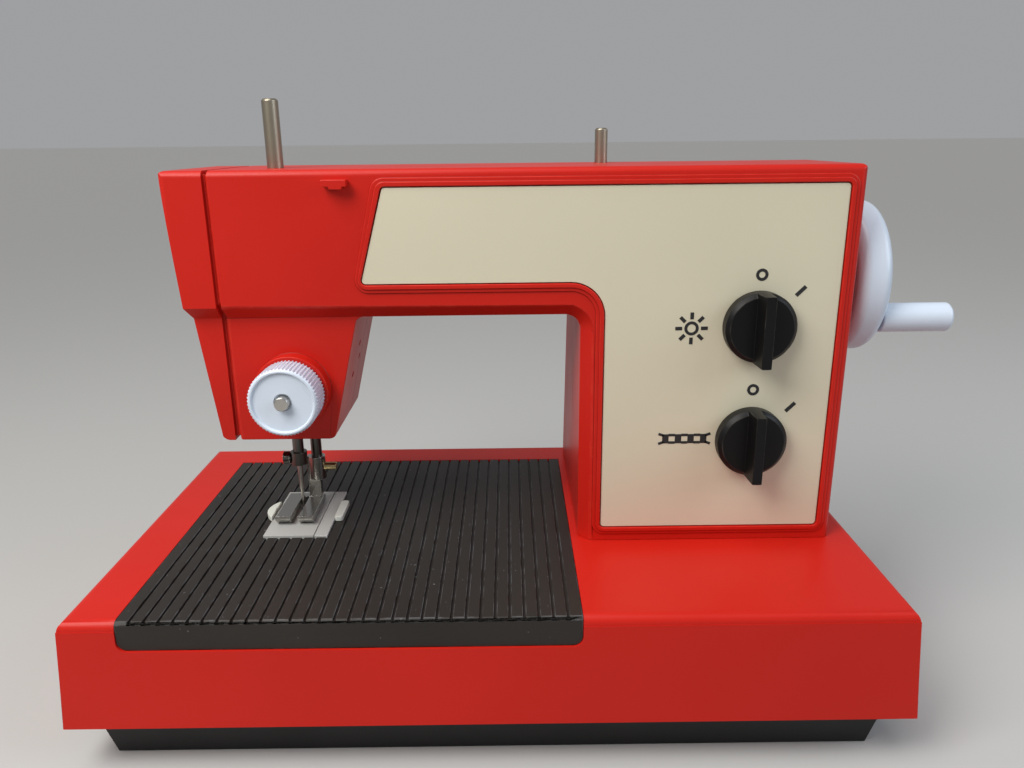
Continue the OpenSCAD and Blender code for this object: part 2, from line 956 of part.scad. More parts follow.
module crank_disc() {
  pin_y = drive_y + crank_r * cos(crank_rest);
  pin_z = drive_z + crank_r * sin(crank_rest);
  color(bright_steel)
    difference() {
      union() {
        x_rod(shaft_head_end - disc_t, shaft_head_end, drive_y, drive_z, crank_r + disc_rim);
        x_rod(yoke_right + crank_pin_gap, shaft_head_end, pin_y, pin_z, crank_pin_r);
      }
      x_rod(shaft_head_end - 2 * disc_t, shaft_head_end + disc_t, drive_y, drive_z, shaft_r);
    }
}

module drive_gear() {
  hub_r = 6;
  color(white_plastic)
    difference() {
      union() {
        side_prism(gear_x, gear_x + gear_w)
          translate([drive_y, drive_z])
            gear_outline(gear_teeth, -90);
        x_rod(gear_x - motor_stand_off, gear_x, drive_y, drive_z, hub_r);
      }
      x_rod(gear_x - gear_w, gear_x + 2 * gear_w, drive_y, drive_z, shaft_r);
    }
}

module upper_pulley() {
  color(white_plastic)
    pulley(drive_z, shaft_r);
}

module motor() {
  color(bright_steel)
    difference() {
      union() {
        x_rod(motor_left, motor_left + motor_l, drive_y, motor_z, motor_r);
        x_rod(motor_left - motor_stand_off / 2, motor_left, drive_y, motor_z, motor_boss_r);
      }
      x_rod(
        motor_left - motor_stand_off, motor_left + motor_l / 2,
        drive_y, motor_z, motor_shaft_r + run_gap
      );
    }
}

module motor_pinion() {
  color(brass_metal) {
    side_prism(gear_x, gear_x + gear_w)
      translate([drive_y, motor_z])
        gear_outline(pinion_teeth, 90 + 180 / pinion_teeth);
    x_rod(gear_x + gear_w, motor_left + motor_l / 2 - slide_gap, drive_y, motor_z, motor_shaft_r);
  }
}

module motor_cradle() {
  middle = motor_left + motor_l / 2;
  leg = cradle_w / 2;
  color(black_plastic)
    side_prism(middle - cradle_w / 2, middle + cradle_w / 2)
      difference() {
        union() {
          translate([drive_y, motor_z])
            circle(r = motor_r + cradle_t);
          polygon([
            [drive_y, motor_z - leg],
            [hollow_back(motor_z - leg) - seat_gap, motor_z - leg],
            [hollow_back(motor_z + leg) - seat_gap, motor_z + leg],
            [drive_y, motor_z + leg]
          ]);
        }
        translate([drive_y, motor_z])
          circle(r = motor_r);
      }
}

// Hand wheel and crank grip

wheel_r = wheel_d / 2;
wheel_rim_r = 3.6;
wheel_dish = 2;
wheel_hub_r = 8;
wheel_dish_edge = 2;
wheel_dish_r = grip_offset - grip_d / 2 - wheel_dish_edge;
grip_pin_r = 2;
grip_pin_in = 7;
grip_cap = 3;
grip_angle = -143;
grip_y = drive_y + grip_offset * cos(grip_angle);
grip_z = drive_z + grip_offset * sin(grip_angle);
grip_round = 1.6;

module hand_wheel() {
  color(white_plastic)
    difference() {
      translate([wheel_left, drive_y, drive_z])
        rotate([0, 90, 0])
          rotate_extrude($fn = 96)
            difference() {
              union() {
                rect([0, 0], [wheel_r - wheel_rim_r, wheel_w]);
                rect([0, wheel_rim_r], [wheel_r, wheel_w - wheel_rim_r]);
                for (h = [wheel_rim_r, wheel_w - wheel_rim_r])
                  translate([wheel_r - wheel_rim_r, h])
                    circle(r = wheel_rim_r);
              }
              rect([wheel_hub_r, wheel_w - wheel_dish], [wheel_dish_r, wheel_w + overrun]);
            }
      x_rod(wheel_left - overrun, wheel_right - wheel_screw_depth, drive_y, drive_z, shaft_r);
      x_rod(wheel_right - grip_pin_in, wheel_right + overrun, grip_y, grip_z, grip_pin_r);
    }
}

module grip_pin() {
  color(bright_steel)
    x_rod(
      wheel_right - grip_pin_in, wheel_right + grip_l - grip_cap - slide_gap,
      grip_y, grip_z, grip_pin_r
    );
}

module crank_grip() {
  r = grip_d / 2;
  color(white_plastic)
    translate([wheel_right + slide_gap, grip_y, grip_z])
      rotate([0, 90, 0])
        rotate_extrude()
          difference() {
            union() {
              rect([0, 0], [r, grip_l - grip_round]);
              rect([0, 0], [r - grip_round, grip_l]);
              translate([r - grip_round, grip_l - grip_round])
                circle(r = grip_round);
            }
            rect([0, -overrun], [grip_pin_r + run_gap, grip_l - grip_cap]);
          }
}

// Arm, column and head housing

head_step = 3;
cover_groove = 1.2;
panel_top_margin = 5.6;
panel_gap = 0.3;
panel_corner_r = 1.2;
panel_pocket = 1;
panel_proud = 0.5;
bead_step_share = 0.55;
panel_top = arm_top - panel_top_margin;
panel_right = column_right - panel_margin;
panel_low = arm_under + panel_rise;
panel_column_left = column_left + panel_side;
panel_foot_z = base_top + panel_foot;
nose_left_slope = (nose_left_foot - nose_left_top) / nose_run;
nose_right_slope = (nose_right_top - nose_right_foot) / nose_run;
nose_fillet_r = 4;
arc_set = 0.3;

housing_screw_r = 1.5;
housing_head_r = 2.8;
housing_boss_r = 4.5;
housing_screw_inset = 10;
housing_head_depth = 4;
low_screw_rise = 24;
housing_screw_grip = 10;
arm_screw_x = -30;
head_screw_dx = 6.6;
housing_screws_at = [
  [column_right - housing_screw_inset, inner_top - housing_screw_inset],
  [column_left + housing_screw_inset, inner_top - housing_screw_inset],
  [arm_screw_x, inner_top - housing_screw_inset],
  [cover_x + head_screw_dx, inner_top - housing_screw_inset],
  [column_right - housing_screw_inset, base_top + low_screw_rise],
  [column_left + housing_screw_inset, base_top + low_screw_rise]
];

pin_seat = 10;
pin_boss = 2.4;
pin_tip = 0.6;
pin_shoulder = 0.2;
pin_left_y = -4;
pin_left_x = -68;
pin_right_x = 39.5;
pin_right_y = 17.5;

tension_z = base_top + tension_h;
tension_boss_r = 12.2;
tension_boss_h = 5.2;
tension_boss_front = nose_front - tension_boss_h;
tension_stud_r = 2.3;
tension_well_r = 9.4;
tension_well = 3;

knob_x = column_right - knob_inset;
knob_low_z = base_top + knob_low;
knob_high_z = knob_low_z + knob_pitch;
knob_shaft_r = 3;

lamp_x = -58.4;
lamp_y = -7;
lamp_r = 4.5;
lamp_window_r = 4;
vent_r = 1;
vent_shares = [[0.46, 0.68], [0.56, 0.54], [0.38, 0.43]];

lifter_r = 2;
lifter_dx = 9;
lifter_x = presser_x + lifter_dx;
lifter_arm = 5.3;
lifter_half = asin(presser_lift / 2 / lifter_arm);

// The housing seen from the front: arm and column with a filleted inner corner
module arm_outline() {
  difference() {
    union() {
      polygon([
        [column_left, base_top],
        [column_right, base_top],
        [column_right, arm_top],
        [arm_left, arm_top],
        [arm_left + head_step, arm_under + edge_chamfer],
        [nose_left_top, arm_under],
        [column_left, arm_under]
      ]);
      corner([column_left, arm_under], -1, -1, throat_r);
    }
    corner([column_right, arm_top], -1, -1, arm_edge_r);
    corner([arm_left, arm_top], 1, -1, arm_edge_r);
  }
}

// The housing seen from the side: upright front and leaning back
module arm_section() {
  difference() {
    polygon([
      [arm_front, base_top],
      [arm_front, arm_top],
      [arm_back_top, arm_top],
      [arm_back_foot, base_top]
    ]);
    corner([arm_front, arm_top], 1, -1, arm_edge_r);
    corner([back_y(arm_top - arm_edge_r) + arc_set, arm_top], -1, -1, arm_edge_r);
  }
}

// The chamfer along the arm's underside, round the inner corner and down the column
module front_chamfer() {
  c = edge_chamfer + overrun;
  corner_x = column_left - throat_r;
  corner_z = arm_under - throat_r;
  side_prism(arm_left - overrun, corner_x)
    polygon([
      [arm_front - overrun, arm_under + c],
      [arm_front - overrun, arm_under - overrun],
      [arm_front + c, arm_under - overrun]
    ]);
  plan_prism(base_top - overrun, corner_z)
    polygon([
      [column_left + c, arm_front - overrun],
      [column_left - overrun, arm_front - overrun],
      [column_left - overrun, arm_front + c]
    ]);
  intersection() {
    translate([corner_x, arm_front + c, corner_z])
      rotate([90, 0, 0])
        cylinder(
          r1 = throat_r - overrun,
          r2 = throat_r + c,
          h = c + overrun
        );
    block(
      [corner_x, arm_front - base_d, corner_z],
      [column_left + base_d, arm_front + base_d, arm_top]
    );
  }
}

// The lower head seen from the front: a tapered box with round lower corners
module nose_outline() {
  left_round = nose_left_foot - nose_left_slope * nose_corner_r - arc_set;
  right_round = nose_right_foot + nose_right_slope * nose_corner_r + arc_set;
  right_fillet = nose_right_top - nose_right_slope * nose_fillet_r - arc_set;
  difference() {
    polygon([
      [nose_left_foot, nose_bottom],
      [nose_right_foot, nose_bottom],
      [nose_right_top, arm_under],
      [nose_right_top, arm_under + overrun],
      [nose_left_top, arm_under + overrun],
      [nose_left_top, arm_under]
    ]);
    corner([left_round, nose_bottom], 1, 1, nose_corner_r);
    corner([right_round, nose_bottom], -1, 1, nose_corner_r);
  }
  corner([right_fillet, arm_under], 1, -1, nose_fillet_r);
}

module housing_body() {
  difference() {
    intersection() {
      front_prism(arm_front - overrun, arm_back_foot + overrun)
        arm_outline();
      side_prism(arm_left - overrun, column_right + overrun)
        arm_section();
      plan_prism(base_top - overrun, arm_top + overrun)
        round_rect([arm_left, arm_front], [column_right, arm_back_foot + base_d], arm_edge_r);
    }
    front_chamfer();
  }
  front_prism(nose_front, nose_back)
    nose_outline();
}

// The hollow inside the housing for a given wall
module housing_hollow(w) {
  c = edge_chamfer;
  front = arm_front + w;
  right = column_right - w;
  left = column_left + w;
  floor_z = arm_under + w;
  top = arm_top - w;
  nose_inset = w + nose_left_slope * w;
  side_prism(arm_left + head_step + w, right)
    polygon([
      [front, top],
      [front, floor_z + c],
      [front + c, floor_z],
      [back_y(floor_z) - w, floor_z],
      [back_y(top) - w, top]
    ]);
  intersection() {
    plan_prism(base_top - overrun, floor_z + c)
      polygon([
        [left + c, front],
        [right, front],
        [right, arm_back_foot],
        [left, arm_back_foot],
        [left, front + c]
      ]);
    side_prism(left, right)
      polygon([
        [front, base_top - overrun],
        [front, floor_z + c],
        [back_y(floor_z + c) - w, floor_z + c],
        [back_y(base_top - overrun) - w, base_top - overrun]
      ]);
  }
  front_prism(nose_front + w, nose_back - w)
    polygon([
      [nose_left_foot + nose_inset, nose_bottom + w],
      [nose_right_foot - w, nose_bottom + w],
      [nose_right_top - w, arm_under],
      [nose_right_top - w, floor_z + overrun],
      [nose_left_top + nose_inset, floor_z + overrun],
      [nose_left_top + nose_inset, arm_under]
    ]);
}

// Everything of the housing between two planes in X and two in Y, with the cover's groove cut in
module housing_piece(x0, x1, y0, y1) {
  intersection() {
    difference() {
      housing_body();
      housing_hollow(wall);
      difference() {
        block(
          [cover_x - cover_gap / 2, arm_front - overrun, 0],
          [cover_x + cover_gap / 2, arm_back_foot, arm_top + overrun]
        );
        housing_hollow(cover_groove);
      }
    }
    block([x0, y0, 0], [x1, y1, arm_top + overrun]);
  }
}

// The faceplate's outline, grown by a given amount
module panel_outline(grow) {
  r = panel_corner_r + grow;
  lean = atan2(panel_top - panel_low + 2 * grow, panel_lean);
  difference() {
    union() {
      polygon(concat(
        bend([panel_left_top - grow, panel_top + grow], -180 + lean, 0, r),
        bend([panel_left_top - panel_lean - grow, panel_low - grow], 0, lean, r),
        [[panel_right + grow, panel_low - grow], [panel_right + grow, panel_top + grow]]
      ));
      rect([panel_column_left - grow, panel_foot_z - grow], [panel_right + grow, panel_top + grow]);
      corner([panel_column_left - grow, panel_low - grow], -1, -1, panel_r - grow);
    }
    corner([panel_right + grow, panel_top + grow], -1, -1, r);
    corner([panel_right + grow, panel_foot_z - grow], -1, 1, r);
    corner([panel_column_left - grow, panel_foot_z - grow], 1, 1, r);
  }
}

// Openings for both bars and the lamp in the head's underside
module head_holes() {
  z_rod(needle_x, needle_y, nose_bottom - overrun, nose_floor + overrun, bar_r + slide_gap);
  z_rod(presser_x, presser_y, nose_bottom - overrun, nose_floor + overrun, bar_r + slide_gap);
  z_rod(lamp_x, lamp_y, nose_bottom - overrun, nose_floor + overrun, lamp_window_r);
}

// The seat of a spool pin in the arm's top
module pin_hole(x, y, d) {
  z_rod(x, y, arm_top - pin_seat - overrun, arm_top + overrun, d / 2 - pin_shoulder);
}

module arm_front_shell() {
  color(red_plastic)
    difference() {
      union() {
        housing_piece(cover_x, column_right + overrun, arm_front - overrun, split_y);
        for (step = [[bead_h / 2, bead_w], [bead_h, bead_w * bead_step_share]])
          front_prism(arm_front - step[0], arm_front + wall / 2)
            difference() {
              panel_outline(panel_gap + step[1]);
              panel_outline(panel_gap);
            }
        y_rod(tension_x, tension_boss_front, nose_front + wall, tension_z, tension_boss_r);
        for (p = housing_screws_at)
          y_rod(p[0], arm_front + wall / 2, split_y, p[1], housing_boss_r);
        for (x = column_screw_xs)
          z_rod(x, column_screw_front, base_top, base_top + column_boss_h, column_boss_r);
        z_rod(pin_left_x, pin_left_y, arm_top - pin_seat, arm_top - wall / 2, pin_left_d / 2 + pin_boss);
      }
      front_prism(arm_front - overrun, arm_front + panel_pocket)
        panel_outline(panel_gap);
      for (p = housing_screws_at)
        y_rod(p[0], split_y - housing_screw_grip, split_y + overrun, p[1], housing_screw_r + run_gap);
      for (x = column_screw_xs)
        column_screw_hole(x, column_screw_front);
      for (z = [knob_low_z, knob_high_z])
        y_rod(knob_x, arm_front - overrun, inner_front + overrun, z, knob_shaft_r + slide_gap);
      y_rod(
        tension_x, tension_boss_front - overrun, tension_boss_front + tension_well,
        tension_z, tension_well_r
      );
      y_rod(tension_x, tension_boss_front, nose_front + 2 * wall, tension_z, tension_stud_r);
      pin_hole(pin_left_x, pin_left_y, pin_left_d);
      x_rod(inner_right - overrun, column_right + overrun, drive_y, drive_z, bush_r);
      head_holes();
      for (s = vent_shares)
        x_rod(
          nose_right_foot - wall, nose_right_top + wall,
          nose_front + s[0] * nose_d, nose_bottom + s[1] * nose_run, vent_r
        );
    }
}

module arm_rear_shell() {
  color(red_plastic)
    difference() {
      union() {
        housing_piece(cover_x, column_right + overrun, split_y, arm_back_foot + overrun);
        for (p = housing_screws_at)
          y_rod(p[0], split_y, back_y(p[1]) - wall / 2, p[1], housing_boss_r);
        for (x = column_screw_xs)
          z_rod(x, column_screw_back, base_top, base_top + column_boss_h, column_boss_r);
        z_rod(pin_right_x, pin_right_y, arm_top - pin_seat, arm_top - wall / 2, pin_right_d / 2 + pin_boss);
      }
      for (p = housing_screws_at) {
        y_rod(p[0], split_y - overrun, arm_back_foot, p[1], housing_screw_r + slide_gap);
        y_rod(
          p[0], back_y(p[1]) - housing_head_depth, arm_back_foot + base_d,
          p[1], housing_head_r + slide_gap
        );
      }
      for (x = column_screw_xs)
        column_screw_hole(x, column_screw_back);
      pin_hole(pin_right_x, pin_right_y, pin_right_d);
      x_rod(inner_right - overrun, column_right + overrun, drive_y, drive_z, bush_r);
      y_rod(lifter_x, nose_back - 2 * wall, nose_back + overrun, lifter_z, lifter_r + run_gap);
      head_holes();
    }
}

module head_cover() {
  color(red_plastic)
    housing_piece(arm_left - overrun, cover_x, arm_front - overrun, arm_back_foot + overrun);
}

module faceplate() {
  color(cream_plastic)
    difference() {
      front_prism(arm_front - panel_proud, arm_front + panel_pocket)
        panel_outline(0);
      for (z = [knob_low_z, knob_high_z])
        y_rod(knob_x, arm_front - base_d, arm_front + base_d, z, knob_shaft_r + slide_gap);
    }
}

guide_x = -45.4;
guide_l = 7.8;
guide_h = 2.1;
guide_reach = 3.6;
guide_drop = 4;
guide_tab = 0.8;
guide_tab_shares = [-0.2, 0.32];

module thread_guide() {
  top = arm_top - guide_drop + guide_h / 2;
  foot = top - guide_h;
  color(red_plastic)
    front_prism(arm_front - guide_reach, arm_front) {
      round_rect([guide_x - guide_l / 2, foot], [guide_x + guide_l / 2, top], guide_h / 4);
      round_rect(
        [guide_x + guide_tab_shares[0] * guide_l, foot - guide_tab],
        [guide_x + guide_tab_shares[1] * guide_l, top],
        guide_h / 4
      );
    }
}

// A spool pin with a shoulder at the arm's top and a chamfered tip
module spool_pin(x, y, d, h) {
  z_rod(x, y, arm_top - pin_seat, arm_top, d / 2 - pin_shoulder);
  z_rod(x, y, arm_top, arm_top + h - pin_tip, d / 2);
  translate([x, y, arm_top + h - pin_tip])
    cylinder(r1 = d / 2, r2 = d / 2 - pin_tip, h = pin_tip);
}

module spool_pin_left() {
  color(bright_steel)
    spool_pin(pin_left_x, pin_left_y, pin_left_d, pin_left_h);
}

module spool_pin_right() {
  color(bright_steel)
    spool_pin(pin_right_x, pin_right_y, pin_right_d, pin_right_h);
}

// Panel knobs and switches

switch_w = 20;
switch_d = 11;
switch_bore = 9;
knob_stand = 0.4;
knob_bevel = 1.3;
fin_top_share = 0.72;
knob_back = arm_front - panel_proud - knob_stand;

module rotary_switch(z) {
  color(black_plastic)
    difference() {
      block(
        [knob_x - switch_w / 2, inner_front, z - switch_w / 2],
        [knob_x + switch_w / 2, inner_front + switch_d, z + switch_w / 2]
      );
      y_rod(knob_x, inner_front - overrun, inner_front + switch_bore, z, knob_shaft_r + run_gap);
    }
}

// A rotary knob: bevelled disc, upright grip fin and shaft
module panel_knob(z) {
  r = knob_d / 2;
  top = fin_t / 2 * fin_top_share;
  color(black_plastic) {
    translate([knob_x, knob_back, z])
      rotate([90, 0, 0])
        rotate_extrude()
          polygon([[0, 0], [r, 0], [r, knob_t - knob_bevel], [r - knob_bevel, knob_t], [0, knob_t]]);
    intersection() {
      y_rod(knob_x, knob_back - knob_t - fin_h, knob_back - knob_t / 2, z, r);
      plan_prism(z - knob_d, z + knob_d)
        polygon([
          [knob_x - fin_t / 2, knob_back - knob_t / 2],
          [knob_x + fin_t / 2, knob_back - knob_t / 2],
          [knob_x + top, knob_back - knob_t - fin_h],
          [knob_x - top, knob_back - knob_t - fin_h]
        ]);
    }
    y_rod(knob_x, knob_back - knob_t / 2, inner_front + switch_bore - slide_gap, z, knob_shaft_r);
  }
}

module lamp_switch() {
  rotary_switch(knob_high_z);
}

module sew_switch() {
  rotary_switch(knob_low_z);
}

module lamp_knob() {
  panel_knob(knob_high_z);
}

module sew_knob() {
  panel_knob(knob_low_z);
}

// Head

lamp_foot = 10.5;
lamp_l = 16;
lamp_cap_r = 3.6;
lamp_cap_l = 6;
holder_wall = 1.6;
lamp_bottom = nose_bottom + lamp_foot;
lamp_top = lamp_bottom + lamp_l;

module lamp_bulb() {
  color("#f4efd8") {
    translate([lamp_x, lamp_y, lamp_bottom + lamp_r])
      sphere(r = lamp_r);
    z_rod(lamp_x, lamp_y, lamp_bottom + lamp_r, lamp_top - lamp_cap_l, lamp_cap_r);
    z_rod(lamp_x, lamp_y, lamp_top - lamp_cap_l, lamp_top, lamp_cap_r);
  }
}

module lamp_holder() {
  r = lamp_cap_r + holder_wall;
  foot = lamp_top - lamp_cap_l;
  color(black_plastic)
    difference() {
      union() {
        z_rod(lamp_x, lamp_y, foot, lamp_top + holder_wall, r);
        block(
          [lamp_x - lamp_cap_r, nose_front + wall, foot],
          [lamp_x + lamp_cap_r, lamp_y, foot + lamp_cap_l]
        );
      }
      z_rod(lamp_x, lamp_y, foot - overrun, lamp_top, lamp_cap_r);
    }
}

frame_left_dx = 4.4;
frame_right_dx = 2.8;
frame_front_dy = 4.8;
frame_left = needle_x - frame_left_dx;
frame_right = presser_x + frame_right_dx;
frame_front = needle_y - frame_front_dy;
frame_back = nose_back - wall;
frame_plate = 2.6;
lug_t = 3.4;
lug_low = nose_floor;
lug_rise = 15.8;
lug_high = lug_low + lug_rise;

module head_frame() {
  color(dark_steel)
    difference() {
      union() {
        block([frame_left, frame_back - frame_plate, lug_low], [frame_right, frame_back, lug_high + lug_t]);
        for (z = [lug_low, lug_high])
          block([frame_left, frame_front, z], [frame_right, frame_back, z + lug_t]);
      }
      z_rod(needle_x, needle_y, lug_low - overrun, lug_high + 2 * lug_t, bar_r + run_gap);
      z_rod(presser_x, presser_y, lug_low - overrun, lug_high + 2 * lug_t, bar_r + run_gap);
    }
}

// Needle bar and what it carries

needle_bar_lift = 19.2;
needle_bar_foot = base_top + needle_bar_lift;
yoke_z = drive_z + crank_r * sin(crank_rest);
yoke_half = 4;
yoke_side = 1.8;
yoke_hub = 3.6;
clamp_r = 3;
clamp_h = 4.8;
clamp_screw_r = 1.2;
clamp_head_r = 2.3;
clamp_head_t = 2.6;
needle_r = 0.95;
needle_neck = 10;
needle_blade_r = 0.6;
needle_tip_lift = 2;
needle_tip = base_top + needle_tip_lift;
needle_point = 4;

module needle_bar() {
  color(dark_steel)
    z_rod(needle_x, needle_y, needle_bar_foot, yoke_z + yoke_half, bar_r);
}

module needle_yoke() {
  slot_half = crank_r + crank_pin_r + slide_gap;
  color(bright_steel)
    difference() {
      union() {
        z_rod(needle_x, needle_y, yoke_z - yoke_half, yoke_z + yoke_half, yoke_hub);
        block(
          [needle_x, needle_y - yoke_hub, yoke_z - yoke_half],
          [yoke_right, needle_y + yoke_hub, yoke_z + yoke_half]
        );
        side_prism(yoke_left, yoke_right)
          difference() {
            rect(
              [drive_y - slot_half - yoke_side, yoke_z - yoke_half],
              [drive_y + slot_half + yoke_side, yoke_z + yoke_half]
            );
            rect(
              [drive_y - slot_half, yoke_z - crank_pin_r - run_gap],
              [drive_y + slot_half, yoke_z + crank_pin_r + run_gap]
            );
          }
      }
      z_rod(needle_x, needle_y, yoke_z - 2 * yoke_half, yoke_z + 2 * yoke_half, bar_r);
    }
}

module needle_clamp() {
  color(dark_steel)
    difference() {
      z_rod(needle_x, needle_y, needle_bar_foot, needle_bar_foot + clamp_h, clamp_r);
      z_rod(needle_x, needle_y, needle_bar_foot - overrun, needle_bar_foot + 2 * clamp_h, bar_r);
      x_rod(needle_x - 2 * clamp_r, needle_x, needle_y, needle_bar_foot + clamp_h / 2, clamp_screw_r);
    }
}

module clamp_screw() {
  z = needle_bar_foot + clamp_h / 2;
  edge = needle_x - clamp_r;
  color(dark_steel) {
    x_rod(edge, needle_x - bar_r, needle_y, z, clamp_screw_r);
    x_rod(edge - clamp_head_t, edge, needle_y, z, clamp_head_r);
  }
}

module needle() {
  blade_top = needle_bar_foot - needle_neck;
  color(bright_steel) {
    z_rod(needle_x, needle_y, blade_top, needle_bar_foot, needle_r);
    z_rod(needle_x, needle_y, needle_tip + needle_point, blade_top, needle_blade_r);
    translate([needle_x, needle_y, needle_tip])
      cylinder(r1 = needle_blade_r / 4, r2 = needle_blade_r, h = needle_point);
  }
}

// Presser bar and what it carries

presser_foot_lift = 12.5;
presser_bar_foot = base_top + presser_foot_lift;
presser_bar_top_gap = 0.2;
collar_r = 4;
collar_t = 2.4;
collar_gap = 0.6;
collar_z = lug_low + lug_t + collar_gap;
collar_tab = 6.4;
collar_tab_w = 4;
spring_wire_r = 0.4;
spring_turns = 4;
sole_gap = 0.3;
sole_z = needle_plate_top + sole_gap;
toe_gap = 2.8;
toe_t = 2.8;
toe_curl = 2.2;
foot_front_run = 14.5;
foot_front = needle_y - foot_front_run;
foot_back = foot_front + foot_l;
shank_w = 4.6;
shank_shift = 0.6;
shank_t = 3.2;
socket_r = 3;
socket_h = 9;
foot_screw_r = 1.5;
foot_screw_l = 4.2;

module presser_bar() {
  color(dark_steel)
    z_rod(presser_x, presser_y, presser_bar_foot, lug_high + lug_t + presser_bar_top_gap, bar_r);
}

module presser_collar() {
  color(bright_steel)
    difference() {
      union() {
        z_rod(presser_x, presser_y, collar_z, collar_z + collar_t, collar_r / 2 + bar_r / 2);
        block(
          [presser_x, presser_y - collar_tab_w / 2, collar_z],
          [presser_x + collar_tab, presser_y + collar_tab_w / 2, collar_z + collar_t]
        );
      }
      z_rod(presser_x, presser_y, collar_z - overrun, collar_z + 2 * collar_t, bar_r);
    }
}

module presser_spring() {
  foot = collar_z + collar_t;
  color(bright_steel)
    translate([presser_x, presser_y, foot + seat_gap])
      coil_spring(
        bar_r + spring_wire_r + slide_gap, spring_wire_r,
        lug_high - foot - 2 * seat_gap, spring_turns
      );
}

// A toe of the foot seen from the side: flat sole and a tip that curls up
module toe_outline() {
  polygon([
    [foot_back, sole_z],
    [foot_front + toe_curl, sole_z],
    [foot_front, sole_z + toe_curl],
    [foot_front, sole_z + toe_curl + toe_t / 2],
    [foot_front + toe_curl, sole_z + toe_t],
    [foot_back, sole_z + toe_t]
  ]);
}

module presser_foot() {
  toe_w = (foot_w - toe_gap) / 2;
  socket_foot = presser_bar_foot - shank_t / 2;
  color(dark_steel)
    difference() {
      union() {
        for (s = [-1, 1])
          let (x = needle_x + s * (toe_gap + toe_w) / 2)
          side_prism(x - toe_w / 2, x + toe_w / 2)
            toe_outline();
        block(
          [needle_x - foot_w / 2, foot_back - shank_t, sole_z],
          [needle_x + foot_w / 2, foot_back, sole_z + toe_t]
        );
        front_prism(foot_back - shank_t, foot_back)
          rect(
            [presser_x - socket_r - shank_shift, sole_z],
            [presser_x - socket_r - shank_shift + shank_w, socket_foot + socket_h]
          );
        z_rod(presser_x, presser_y, socket_foot, socket_foot + socket_h, socket_r);
      }
      z_rod(presser_x, presser_y, presser_bar_foot, presser_bar_foot + 2 * socket_h, bar_r);
      x_rod(presser_x, presser_x + 2 * socket_r, presser_y, presser_bar_foot + socket_h / 3, foot_screw_r);
    }
}

module foot_screw() {
  color(brass_metal)
    x_rod(
      presser_x + bar_r, presser_x + socket_r + foot_screw_l, presser_y,
      presser_bar_foot + socket_h / 3, foot_screw_r
    );
}

lifter_nose_r = 1;
lifter_web = 2.6;
lifter_web_share = 0.8;
lifter_front = presser_y - collar_tab_w / 2 - slide_gap - lifter_web;
lifter_nose_z = collar_z - slide_gap - lifter_nose_r;
lifter_z = lifter_nose_z + presser_lift / 2;
lifter_gap = 0.5;
handle_t = 3;
handle_r = 4;
handle_share = 0.69;
handle_l = handle_share * (arm_under - lifter_z - handle_r);

module presser_lifter() {
  nose_x = lifter_x - lifter_arm * cos(lifter_half);
  handle_y = nose_back + lifter_gap;
  color(bright_steel) {
    y_rod(lifter_x, lifter_front, handle_y + handle_t, lifter_z, lifter_r);
    y_rod(nose_x, lifter_front, presser_y + collar_tab_w / 2, lifter_nose_z, lifter_nose_r);
    translate([lifter_x, 0, lifter_z])
      rotate([0, -lifter_half, 0])
        front_prism(lifter_front, lifter_front + lifter_web)
          rect([-lifter_arm, -lifter_nose_r * lifter_web_share], [0, lifter_nose_r * lifter_web_share]);
    translate([lifter_x, 0, lifter_z])
      rotate([0, -lifter_half, 0])
        front_prism(handle_y, handle_y + handle_t) {
          circle(r = handle_r);
          rect([-handle_r / 2, 0], [handle_r / 2, handle_l]);
          translate([0, handle_l])
            circle(r = handle_r);
        }
  }
}

// Thread tension

tension_gap = 0.4;
tension_back = tension_boss_front - tension_gap;
tension_face = tension_back - tension_l;
tension_dish = 0.8;
tension_rim = 0.5;
tension_cup_r = 7.5;
tension_cup = 5.5;
tension_bevel = 0.8;
stud_proud = 2.3;
stud_ring = 0.6;
stud_tail = 5;
disc_r = 8;
disc_sheet = 0.9;
knurl_count = 60;
knurl_r = 0.45;
tension_spring_r = 4.4;
tension_spring_turns = 4;
tension_wire_r = 0.4;

module tension_stud() {
  color(bright_steel)
    y_rod(
      tension_x, tension_face + tension_dish - stud_proud, nose_front + wall + stud_tail,
      tension_z, tension_stud_r
    );
}

module tension_discs() {
  well_floor = tension_boss_front + tension_well;
  color(bright_steel)
    difference() {
      for (i = [0, 1])
        let (y = well_floor - i * (disc_sheet + seat_gap))
        y_rod(tension_x, y - disc_sheet, y, tension_z, disc_r);
      y_rod(tension_x, tension_face, nose_front, tension_z, tension_stud_r);
    }
}

module tension_spring() {
  seat = tension_boss_front + tension_well - 2 * disc_sheet - 2 * seat_gap;
  cup_floor = tension_back - tension_cup;
  color(bright_steel)
    translate([tension_x, seat, tension_z])
      rotate([90, 0, 0])
        coil_spring(tension_spring_r, tension_wire_r, seat - cup_floor - slide_gap, tension_spring_turns);
}

module tension_knob() {
  r = tension_d / 2;
  color(white_plastic)
    translate([tension_x, tension_back, tension_z])
      rotate([90, 0, 0])
        difference() {
          rotate_extrude($fn = 96)
            polygon([
              [tension_stud_r + run_gap, tension_cup],
              [tension_cup_r, tension_cup],
              [tension_cup_r, 0],
              [r, 0],
              [r, tension_l - tension_bevel],
              [r - tension_bevel, tension_l],
              [r - tension_bevel - tension_rim, tension_l],
              [r - tension_bevel - tension_rim - tension_dish / 2, tension_l - tension_dish],
              [tension_stud_r + stud_ring, tension_l - tension_dish],
              [tension_stud_r + stud_ring, tension_l - 2 * tension_dish],
              [tension_stud_r + run_gap, tension_l - 2 * tension_dish]
            ]);
          for (i = [0 : knurl_count - 1])
            rotate([0, 0, 360 * i / knurl_count])
              translate([r, 0, -overrun])
                cylinder(r = knurl_r, h = tension_l + 2 * overrun, $fn = 6);
        }
}

